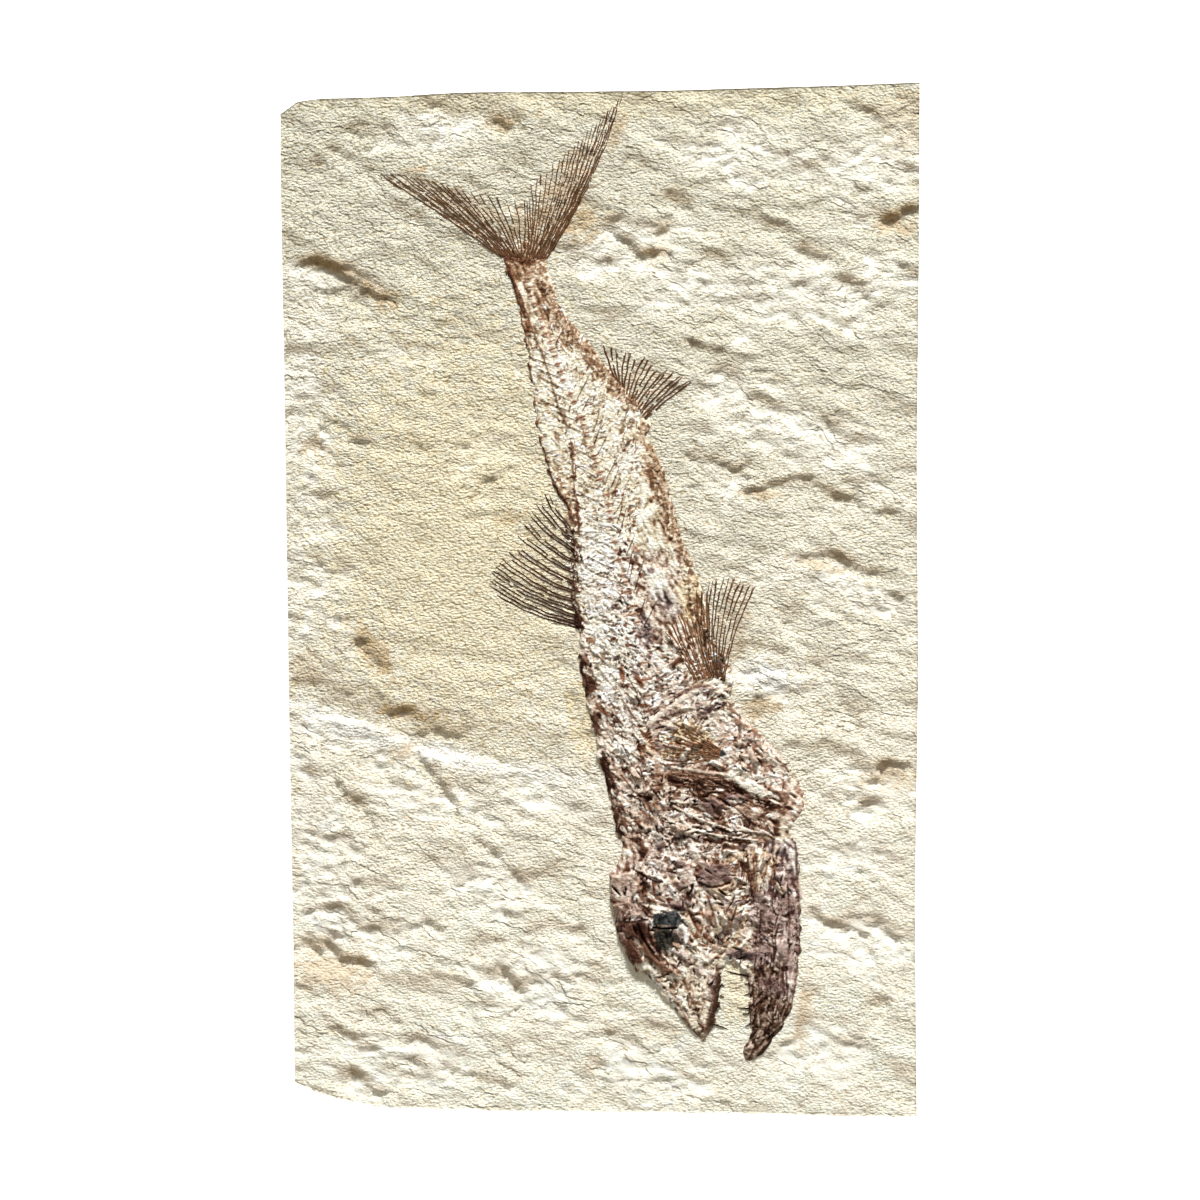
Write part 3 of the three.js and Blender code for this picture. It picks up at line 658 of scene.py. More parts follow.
# Each fin: its node, the line of its rays' roots and of their tips, how many rays, how they crowd to the
# first, their bow, edges to a ray, the gap between those edges and their width at root and tip, colour, the
# share broken away and the share of its length at which an edge forks.
FINS = {
    "tail_upper_lobe": dict(
        node="caudal_fin_upper_lobe", root=[(-20, 69.8), (-18.9, 70.2), (-17.2, 70), (-15.4, 69.2)],
        tips=[(-45.4, 86.8), (-41, 86.8), (-35, 85.6), (-28, 83.4), (-21.5, 82.2), (-15.4, 81.4)],
        rays=21, crowd=1.25, bow=-0.015, edges=1, gap=(0.3, 0.5), width=(0.34, 0.24), color=RAY_BROWN * 0.7,
        gaps=0.04, fork=0.8),
    "tail_lower_lobe": dict(
        node="caudal_fin_lower_lobe", root=[(-10.8, 69.6), (-11.7, 70), (-13.2, 69.8), (-15.2, 69.2)],
        tips=[(4.4, 102.4), (1.6, 99.4), (-3, 94.8), (-7.6, 90.4), (-12.6, 86.4), (-15, 81.4)],
        rays=24, crowd=1.3, bow=-0.03, edges=1, gap=(0.3, 0.5), width=(0.36, 0.26), color=RAY_BROWN * 0.7,
        gaps=0.05, fork=0.75),
    "dorsal_fin_rays": dict(
        node="dorsal_fin",
        root=[(-4.4, -5.4), (-5.2, -2.2), (-5.4, 0.8), (-5.4, 3.2), (-5.2, 6.6), (-5.4, 11), (-6.2, 14.6)],
        tips=[(-22.8, 2.6), (-22.2, 5.4), (-20.3, 8), (-17.6, 12), (-15.6, 14.6), (-13.8, 18.4),
              (-11.2, 22.2)],
        rays=12, crowd=1.3, bow=0.045, edges=2, gap=(0.5, 0.85), width=(0.4, 0.26), color=RAY_DARK * 1.7,
        gaps=0.02, fork=0.92),
    "anal_fin_rays": dict(
        node="anal_fin", root=[(9.2, 36.8), (7.3, 39.6), (3.2, 44.8)],
        tips=[(18.6, 44.4), (14.6, 46.6), (11.8, 46.8), (9, 49.6), (4.5, 50.6), (0.9, 52)],
        rays=17, crowd=1.15, bow=0.03, edges=1, gap=(0.2, 0.6), width=(0.5, 0.34), color=RAY_BROWN * 0.75,
        gaps=0.04, fork=0.6),
    "pelvic_fin_near_rays": dict(
        node="pelvic_fin_near", root=[(22.6, -15.4), (25.4, -16.6)],
        tips=[(20, 2.4), (24, 4.4), (28, 4.2), (31.6, 2.8)],
        rays=12, crowd=1.0, bow=0.05, edges=1, gap=(0.1, 0.5), width=(0.42, 0.28), color=RAY_BROWN * 0.7,
        gaps=0.04, fork=0.6),
    "pelvic_fin_far_rays": dict(
        node="pelvic_fin_far", root=[(19.6, -16.4), (22.8, -15.8)],
        tips=[(13.4, -6.4), (15.8, -3.2), (18, -1.4), (21.8, -0.6)],
        rays=12, crowd=1.0, bow=0.0, edges=1, gap=(0.1, 0.6), width=(0.46, 0.32), color=RAY_RUST * 0.9,
        gaps=0.05, fork=0.6),
    "pectoral_fin_rays": dict(
        node="pectoral_fin", root=[(24.4, -32), (24.6, -30.4)],
        tips=[(13, -33.6), (12.6, -30.4), (14, -27.2), (17.6, -25)],
        rays=12, crowd=1.0, bow=0.03, edges=1, gap=(0.1, 0.5), width=(0.4, 0.26), color=RAY_RUST * 0.85,
        gaps=0.06, fork=0.55),
}


# ------------------------------------------------------------ painting the fish

# Ovals: middle and radii.
TAILWARD = (-3, 34), (12, 38)
BREAST = (18, -30), (23, 22)
SKULL = (22, -70), (20, 24)
UPPER_SKULL = (21, -63), (19, 15)
BREAST_BONES = ("bone", "shoulder", "mixed", "bone", "blotch")
SKULL_BONES = ("skull", "cheek", "shoulder", "jaw", "calcite", "blotch")


def paint_texture():
    """Chips of bone, then dark cracks and pale splinters, over the whole fish."""
    strew(2600, *TAILWARD, (0.5, 1.8), (0.3, 0.9), (0.35, 1.1), (0, 0.14), 40)
    strew(4200, *BREAST, (0.7, 3.2), (0.35, 1.3), (0.1, 1.2), (0, 0.3), 40)
    strew(2600, *SKULL, (0.7, 3.4), (0.35, 1.4), (0.06, 1.15), (0, 0.3), 40)
    strew_plates(190, *BREAST, (0.6, 2.4), BREAST_BONES)
    strew_plates(210, *UPPER_SKULL, (0.6, 2.4), SKULL_BONES)
    strew(700, *TAILWARD, (1, 3), (0.25, 0.45), (0.85, 1.1), (0.1, 0.25), 16)
    strew(300, *BREAST, (1, 3.4), (0.3, 0.6), (0.85, 1.1), (0.2, 0.4), 26)
    strew(170, *SKULL, (1, 3.4), (0.3, 0.6), (0.85, 1.1), (0.2, 0.4), 26)
    strew(260, *TAILWARD, (0.8, 1.8), (0.25, 0.4), (-0.1, 0.25), (-0.05, 0.1), 24)
    strew(260, *BREAST, (0.8, 3), (0.3, 0.6), (-0.2, 0.2), (-0.15, 0.1), 30)
    strew(300, *SKULL, (0.8, 3), (0.3, 0.6), (-0.3, 0.1), (-0.2, 0.1), 30)
    strew(420, (1.5, -2), (5.5, 20), (1, 4), (0.3, 0.8), (0.7, 1.1), (0.15, 0.35), 40, "calcite")
    strew(260, (5, -20), (5, 14), (1, 3.4), (0.3, 0.8), (0.7, 1.1), (0.15, 0.35), 40, "calcite")
    strew(60, (5, 8), (3.5, 26), (0.8, 2), (0.5, 1.1), (0.1, 0.6), (0.1, 0.3), 60, "rusty")
    strew(40, (7, -2), (6, 16), (0.8, 2.2), (0.5, 1.3), (0.1, 0.6), (0.1, 0.3), 60, "blotch")


def offset_line(points, away, steps=40):
    """A curve moved sideways to its left."""
    line = smooth_line(points, steps)
    run = np.gradient(line, axis=0)
    run /= np.linalg.norm(run, axis=1, keepdims=True)
    return line + away * np.stack([-run[:, 1], run[:, 0]], axis=1)


BACK_EDGE = [(-19.2, 69.4), (-16.8, 61), (-15.6, 53), (-14.2, 46), (-13.4, 38), (-12.2, 31.6)]
BACK_EDGE_LOWER = [(-11.9, 31), (-9.8, 24), (-7, 19.6), (-5, 15.4)]
INNER_BACK = [(-18.2, 67), (-15.7, 60.6), (-13.4, 54.1), (-10.9, 47.6), (-8.7, 40.2), (-6.8, 35.2)]
INNER_BACK_LOWER = [(-5.8, 32), (-5.6, 27), (-5.2, 22), (-4.6, 19), (-4.2, 13)]
SPINE = [
    (-15, 68.5), (-13.4, 60), (-8.5, 48), (-4, 37), (-0.5, 27), (2, 18), (4.2, 6), (8, -6), (9.6, -18),
    (11, -30), (12, -39), (12.6, -47.5),
]


def paint_back_lines():
    """The dark double line down the fish's back and the brown band between its halves."""
    left, right = smooth_line(BACK_EDGE, 40), smooth_line(INNER_BACK, 40)
    for _ in range(80):
        k = RNG.integers(0, 20)
        spot = left[k] + (right[k] - left[k]) * RNG.uniform(0.0, 0.9)
        add_chip(spot, (0.6, 1.6), (0.3, 0.6), (-75, 12), (0.1, 0.7), (0.1, 0.3), "rusty")
    for points, width, tone in (
        (BACK_EDGE, 0.5, 0.0), (BACK_EDGE_LOWER, 0.8, 0.0),
        (INNER_BACK, 0.36, 0.15), (INNER_BACK_LOWER, 0.34, 0.15),
    ):
        rough = smooth_line(points, 40)
        rough += 0.22 * np.stack([noise(rough[:, 1] / 1.6, 0.5, seed) for seed in (41, 42)], axis=1)
        canvas.line(rough, width, tone, 0.3, 0.9, name="shoulder")
    for points in (BACK_EDGE, BACK_EDGE_LOWER, INNER_BACK_LOWER):
        rough = smooth_line(points, 90)
        for _ in range(46):
            spot = rough[RNG.integers(0, 90)] + RNG.normal(0.15, 0.25, 2)
            add_chip(spot, (0.6, 1.5), (0.35, 0.7), (-70, 25), (-0.1, 0.5), 0.3, "rusty")


def paint_spines():
    """Thin dark neural spines left of the column and haemal spines right of it, raking back."""
    column = smooth_line(SPINE, 100)
    for side, last in ((-1, 76), (1, 66)):
        for k in range(12, last, 2):
            if RNG.random() < 0.2:
                continue
            reach = RNG.uniform(3.4, 6.4)
            lean = RNG.uniform(148, 162) if side < 0 else RNG.uniform(62, 82)
            start = column[k] + np.array([side * RNG.uniform(0.9, 1.8), RNG.uniform(-0.4, 0.4)])
            along = np.array([math.cos(math.radians(lean)), math.sin(math.radians(lean))])
            bend = np.array([0, -0.25]) * RNG.uniform(0, 1)
            line = smooth_line([start, start + along * reach / 2 + bend, start + along * reach], 10)
            canvas.line(line, 0.26, RNG.uniform(-0.8, -0.3), 0.24, 0.9, 0.4)


BELLY_BANDS = [
    # line of the band, half width, scales
    ([(-12.4, 68), (-10.6, 63), (-8.8, 58), (-6, 54), (-2.4, 51)], 1.0, 270),
    ([(-3, 52), (0.4, 47.6), (3.4, 44.2), (7.4, 39.4)], 1.2, 270),
    ([(8.6, 35.4), (11, 31), (12.4, 26), (13.6, 20), (16, 12)], 1.9, 360),
    ([(16, 14), (18, 6), (20, -2), (22, -10)], 1.6, 180),
]


def paint_belly_scales():
    """Bands of rough rust-brown scales along the belly."""
    for points, half, count in BELLY_BANDS:
        path = smooth_line(points, 60)
        for _ in range(count):
            spot = path[RNG.integers(0, 60)] + RNG.normal(0, half / 1.7, 2)
            add_chip(spot, (0.5, 1.5), (0.3, 0.7), (-60, 30), (0.0, 0.95), (0.05, 0.3), "scales")


VERTEBRAE = 72
CRUSHED_FROM = 38  # from this vertebra on, more and more of them are lost


def paint_column():
    """Vertebrae: pinkish drums and rusty joints, plain towards the tail and lost near the skull."""
    column = smooth_line(SPINE, VERTEBRAE + 1)
    last = VERTEBRAE - 2
    for k in range(1, last + 1):
        if RNG.random() < 0.12 + 0.6 * max(k - CRUSHED_FROM, 0) / (last - CRUSHED_FROM):
            continue
        spot, run = column[k] + RNG.normal(0, 0.15, 2), column[k + 1] - column[k - 1]
        degrees = math.degrees(math.atan2(run[1], run[0])) + RNG.normal(0, 12)
        width = (1.4 + 0.9 * k / VERTEBRAE) * RNG.uniform(0.7, 1.1)
        length, tone, tilt = RNG.uniform(1.1, 1.7), RNG.uniform(0.3, 0.7), RNG.normal(0, 0.12, 2)
        canvas.flake(*spot, length, width, degrees, tone, 0.24, tilt, "drum")
        side = np.array([-run[1], run[0]]) / np.hypot(*run) * width * 0.6
        joint = [spot - side, spot + side]
        canvas.line(joint, 0.26, RNG.uniform(-0.1, 0.3), 0.1, 0.7, name="rusty")


def paint_tail_root():
    """Brown splints that fan from the end of the backbone to the roots of the tail's rays."""
    for lobe in ("tail_upper_lobe", "tail_lower_lobe"):
        for x, y in smooth_line(FINS[lobe]["root"], 12):
            start = np.array([-15.4, 68.5]) + RNG.normal(0, 0.7, 2)
            start += 0.35 * (np.array([x, y]) - start)
            canvas.line([start, (x, y)], 0.34, RNG.uniform(-0.1, 0.3), 0.25, 0.9, 0.3, "rusty")
    for _ in range(60):
        spot = RNG.uniform(-20, -11), RNG.uniform(66, 73)
        add_chip(spot, (0.8, 2.2), 0.35, (-80, 30), (-0.1, 0.6), 0.2, "scales")


BACK_BELOW_FIN = [
    (-4.4, -5.5), (-4.2, -12), (-3.2, -18), (-1.6, -25), (-0.2, -31.5), (1.4, -38), (3.2, -48.4),
]


def paint_scutes():
    """Chunky plates along the back, from the dorsal fin to the skull, darkest at the very edge."""
    for k in range(1, 8):
        low, high = (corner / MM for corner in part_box(f"back_scute_{k}"))
        for _ in range(16):
            spot = RNG.uniform(low.x, high.x), RNG.uniform(low.y, high.y)
            add_chip(spot, (1.2, 3.2), (0.5, 1.1), (-55, 22), (-0.1, 1.0), (0.1, 0.5), "bone", 0.15)
    edge = smooth_line(BACK_BELOW_FIN, 80)
    for _ in range(230):
        x, y = edge[RNG.integers(0, 80)] + (abs(RNG.normal(0, 1.0)), 0)
        if noise(y / 3.4, 0.5, 27) < -0.05:
            continue
        name = "wedge" if RNG.random() < 0.4 else "shoulder"
        add_chip((x, y), (1.2, 3.4), (0.5, 1.1), (-62, 18), (-0.3, 0.5), (0.2, 0.45), name)


SHOULDER_ARC = [(14.4, -36), (20, -36.8), (26, -37.7), (31, -39.4), (35.2, -42)]


def paint_shoulder():
    """The bowed dark shoulder bone with a pale ridge above it."""
    for away, width, tone, rise in (
        (0, 2.4, 0.15, 0.4), (-0.5, 1.2, -0.2, 0.25), (0.8, 0.4, 0.6, 0.55), (-1.5, 0.6, 0.2, 0.35),
    ):
        canvas.line(offset_line(SHOULDER_ARC, away), width, tone, rise, 0.9, name="shoulder")
    canvas.line(offset_line(SHOULDER_ARC, 1.9), 0.8, 0.9, 0.5, 0.9)
    for _ in range(130):
        spot = offset_line(SHOULDER_ARC, RNG.uniform(-1.3, 1.3))[RNG.integers(2, 38)]
        add_chip(spot, (1.5, 3.5), 0.3, (-16, 9), (-0.3, 0.7), (0.2, 0.6))
    for outline, tone, rise, tilt, cover, name in (
        ([(27, -36.4), (32, -37.4), (35.6, -40), (33, -40.4), (29, -38.4)],
         0.8, 0.6, (0, 0.1), 0.6, "calcite"),
        ([(26, -42.9), (29.5, -41.9), (33, -42.6), (32.4, -44.8), (28.6, -44.2)],
         0.75, 0.5, (0, 0.1), 0.8, None),
        ([(20.5, -41), (23, -40.2), (26, -42.4), (21, -43.8)], 0.35, 0.4, (0.05, 0.12), 0.8, "jaw"),
        ([(24.6, -39.4), (30.6, -40), (28, -41.8), (26.4, -41.7)], 0.5, 0.45, (0, 0.14), 0.8, "jaw"),
    ):
        canvas.patch(outline, tone, rise, tilt, cover, name)
    canvas.line([(25, -40.6), (28.4, -43.4), (31.6, -45.8)], 0.5, -0.3, 0.4)
    strew(90, (20, -44), (20, 6), (1.5, 5), (0.4, 1.1), (0.0, 0.4), (-0.1, 0.25), 20, "shoulder")
    strew(40, (20, -44), (20, 6), (1.5, 5), (0.4, 0.9), (0.7, 1.0), (0.2, 0.5), 20, "bone")
    canvas.line([(15, -42), (20, -44.6), (26, -46.6), (33, -47.4)], 0.5, 0.95, 0.5)
    canvas.line([(14, -45), (22, -47.6), (32, -49)], 0.4, 0.9, 0.45)


def paint_trunk_marks():
    """Single marks that the eye picks out on the trunk."""
    for x, y, length, width, degrees, name, tone in (
        (-1.8, -8.2, 2.6, 1.4, -30, "rusty", 0.55), (4.5, -15, 4.5, 1.4, -80, "rusty", 0.5),
        (8, -16.5, 4, 1.4, -60, "rusty", 0.4), (9, -21.5, 3, 1.1, 0, "rusty", 0.4),
        (0.6, -22.6, 5, 1.2, -40, "rusty", 0.4), (3.8, -24.5, 4, 0.8, -50, "shoulder", 0.1),
        (9, -27.4, 2.4, 1.2, -40, "rusty", 0.4), (24.8, -31.2, 2.2, 1.6, -10, "slate", 0.4),
        (31.6, -26.6, 2, 0.9, -20, "rusty", 0.5), (24, -13, 2, 2.6, 0, "slate", 0.6),
        (27, -22.6, 3.4, 1.1, -30, "shoulder", 0.5), (28.6, -25, 5, 0.9, -40, "shoulder", 0.5),
    ):
        canvas.flake(x, y, length, width, degrees, tone, 0.3, name=name)
    for y in np.arange(-5, 6, 1.1):
        start = np.array([-4.6, y])
        end = start + (RNG.uniform(3.5, 6.5), -RNG.uniform(0.6, 2.4))
        canvas.line(smooth_line([start, (start + end) / 2 + (0, -0.3), end], 8), 0.34, 0.1, 0.2, 0.8, 0.5)
    root = smooth_line(FINS["dorsal_fin_rays"]["root"], 60)
    for _ in range(110):
        spot = root[int(60 * RNG.uniform(0, 1) ** 1.7)] + RNG.normal(0, (0.5, 0.3)) + (0.3, 0)
        add_chip(spot, (0.8, 2.4), (0.3, 0.6), (-70, 25), (-0.4, 0.4), 0.3, "wedge")
    add_scratches(60, (-1, 8), (-36, -8), (1.5, 4), (1.5, 4.5), 0.34, (-0.3, 0.2), 0.3, 0.9, 0.5)
    for points, width, tone, rise, cover in (
        ([(10.2, -24.8), (15, -21.4), (20, -18.2), (23, -17)], 1.2, 0.85, 0.4, 0.7),
        ([(15, -19.6), (19, -17.8), (22, -17.4)], 0.9, 0.0, 0.4, 0.8),
        ([(35.8, -32), (40.4, -37), (42.6, -41)], 0.45, 0.1, 0.25, 0.8),
    ):
        canvas.line(smooth_line(points, 20), width, tone, rise, cover)


def paint_skull():
    """Plates and seams of the skull."""
    for points, name, tone, rise, tilt in (
        ([(3.6, -65.6), (9.4, -65.4), (9.6, -69.6), (6.8, -69), (4, -67)], "wedge", 0.0, 0.85, (0, -0.14)),
        ([(4.4, -69.4), (6.8, -69), (9.2, -74), (6.6, -74.6)], "wedge", 0.2, 0.7, (0.12, 0)),
        ([(7.6, -66), (9.8, -66), (10, -71), (12.4, -75), (9.6, -73)], "wedge", 0.15, 0.75, (0.1, 0)),
        ([(9.8, -69.4), (12.4, -73.4), (16.6, -76.6), (12.6, -75.8), (8, -70.6)],
         "shoulder", 0.4, 0.75, (0.1, 0.1)),
        ([(2, -56.4), (6.6, -55), (8, -59), (5.4, -61.8), (2, -61)], "skull", 0.6, 0.85, (0, 0.1)),
        ([(2, -62), (6, -61.4), (8.6, -64.6), (2.4, -65)], "skull", 0.35, 0.8, (0, 0.1)),
        ([(19.6, -55.6), (22, -53.6), (26.4, -54), (27, -57.2), (20.4, -58.4)],
         "jaw", 0.3, 0.85, (0, 0.16)),
        ([(22, -58.8), (26.6, -57.8), (25.6, -60.2), (23.4, -60.4)], "cheek", 0.25, 0.8, (0, 0.1)),
        ([(15.6, -55), (18.4, -54.4), (20.4, -59), (18.4, -60)], "skull", 0.75, 0.8, (0.1, 0)),
    ):
        canvas.patch(points, tone, rise, tilt, 0.75, name)
    for points, width, tone in (
        ([(2, -65.2), (6, -65.6), (9.8, -65.1)], 0.4, -0.5),
        ([(9.9, -66), (10.2, -69), (12.5, -72.6), (16.5, -76), (18, -80), (19.6, -83)], 0.5, -0.1),
        ([(7.6, -66), (9.2, -69.6), (12, -73.4)], 0.5, -0.3),
        ([(20.2, -57.6), (23, -58.5), (26.4, -57.6)], 0.5, -0.4),
        ([(19.6, -58.4), (22.6, -59.2), (26, -61.4)], 0.45, 1.0),
        ([(22, -60.6), (23.4, -65), (24, -68.4), (25.8, -70)], 0.5, 0.0),
        ([(17.6, -62), (19.2, -66), (21.6, -69)], 0.45, 0.0),
        ([(19.5, -60), (21.5, -64.4), (20.6, -69)], 0.35, 1.0),
        ([(33, -58.4), (35.6, -58.6), (38, -60)], 0.4, 1.05),
        ([(34, -61.4), (36.6, -62.6), (38.4, -62.4)], 0.35, 1.05),
        ([(39.7, -72), (39, -77), (38.1, -82), (36.6, -86)], 0.35, 0.8),
        ([(39.9, -50.4), (40.2, -57), (40.7, -64), (40.7, -71), (40, -77)], 0.5, -0.1),
        ([(40, -77), (39.2, -82), (37.6, -86.6), (34.6, -90)], 0.45, -0.1),
        ([(35.4, -86), (34.6, -90), (32.6, -92.6)], 0.4, 0.0),
        ([(38.2, -58), (38.6, -66), (38.2, -74)], 0.4, -0.2),
    ):
        canvas.line(smooth_line(points, 24), width, tone, 0.3, 0.8)
    strew(50, (18, -60), (16, 11), (1.2, 4), (0.4, 0.9), (0.0, 0.4), (-0.1, 0.2), 25, "rusty")
    strew(36, (33, -84), (5, 9), (1.2, 4), (0.3, 0.8), (-0.2, 0.3), (-0.1, 0.2), 25, "wedge")
    for _ in range(26):
        x, y = RNG.uniform(31.6, 39.4), RNG.uniform(-80, -57)
        outline = np.add((x, y), [(-1.6, 0), (-0.4, 2), (1.4, 1.2), (1.2, -1.4), (-0.2, -2.2)])
        canvas.patch(outline, RNG.uniform(0.2, 1.0), 0.5, RNG.normal(0, 0.2, 2), 0.5, "jaw")
    add_scratches(110, (30.6, 35), (-71, -61), 0.8, 0.6, 0.24, (0.1, 0.8), 0.1, 0.5)
    tones = [-0.2, 0.1, 0.95]
    add_scratches(60, (31.5, 39.6), (-84, -56), (-0.9, 0.3), (1.4, 4), (0.25, 0.6), tones, 0.25, 0.7, 0.5)
    add_scratches(26, (28, 37), (-56, -51), (-1, 1), (2, 5), 0.3, (-0.1, 0.3), 0.3, 0.8)


def paint_snout():
    """Pale crushed snout with brown edges, and the dark tooth strip of the upper jaw."""
    for points, width in (
        ([(11, -77), (15, -80.6), (17.4, -84.8), (19.2, -88.4), (21.2, -90)], 0.5),
        ([(20.8, -86.8), (22.2, -88.4), (21.6, -90.2)], 1.3),
        ([(21, -79.4), (21.2, -82), (20.4, -84.4)], 0.5),
        ([(17.4, -77.4), (19, -80), (18.4, -83)], 0.4),
    ):
        canvas.line(smooth_line(points, 20), width, 0.3, 0.3, 0.6, name="shoulder")
    strip = [(24.3, -76.4), (24.1, -80), (23.2, -83.4), (22.4, -86.4)]
    canvas.line(smooth_line(strip, 20), 1.7, 0.2, 0.6, name="dentary")
    for spot in smooth_line(strip, 26):
        canvas.flake(*(spot + (0.8, 0)), 0.9, 0.4, RNG.normal(0, 20), 0.0, 0.7, name="shoulder")


def paint_eye():
    """Two dark pieces left in the eye socket, a gap between them, with a pale crescent beside them."""
    canvas.line(smooth_line([(16.8, -66.6), (17.6, -68.6), (16.8, -71)], 16), 1.0, 1.0, 0.5)
    for node, name in (("eye_upper", "slate"), ("eye_lower", "olive")):
        cells = canvas.owner == RELIEF_NODES.index(node)
        canvas.shades[cells] = mineral(name)
        canvas.tone[cells] = 0.3 + 0.7 * (canvas.tone[cells] - 0.5)
        canvas.height[cells] = canvas.base[cells] + 0.5 + 0.6 * (canvas.height - canvas.base)[cells]
    canvas.line([(10.8, -66.7), (13, -66.9), (15.6, -66.8)], 0.35, -0.6, -0.1, name="olive")
    canvas.flake(15.8, -70.4, 3, 1.2, -30, 0.4, 0.5, name="cheek")


OUTER_SINK = 0.5  # how far the cells outside the fish lie below the bedding face


def finish_canvas():
    """Paints shade into hollows and highlight onto crests, and sinks the ground outside the fish."""
    grit = noises(canvas.x, canvas.y, (0.03, 0.55, 0.4, 21), (0.02, 0.3, 0.3, 22))
    canvas.height += grit
    # Painted shade in the hollows of the relief and painted highlight on its crests.
    hollow = np.clip(blurred(canvas.height, 2, 1) - canvas.height, -0.15, 0.2)
    canvas.tone -= 1.1 * hollow
    canvas.height = np.where(canvas.owner < 0, -OUTER_SINK, canvas.height)


paint_texture()
paint_column()
paint_tail_root()
paint_spines()
paint_belly_scales()
paint_back_lines()
paint_shoulder()
paint_scutes()
paint_trunk_marks()
paint_skull()
paint_snout()
paint_eye()
finish_canvas()
canvas_color = canvas.color()


# ------------------------------------------------------------ relief of the stone

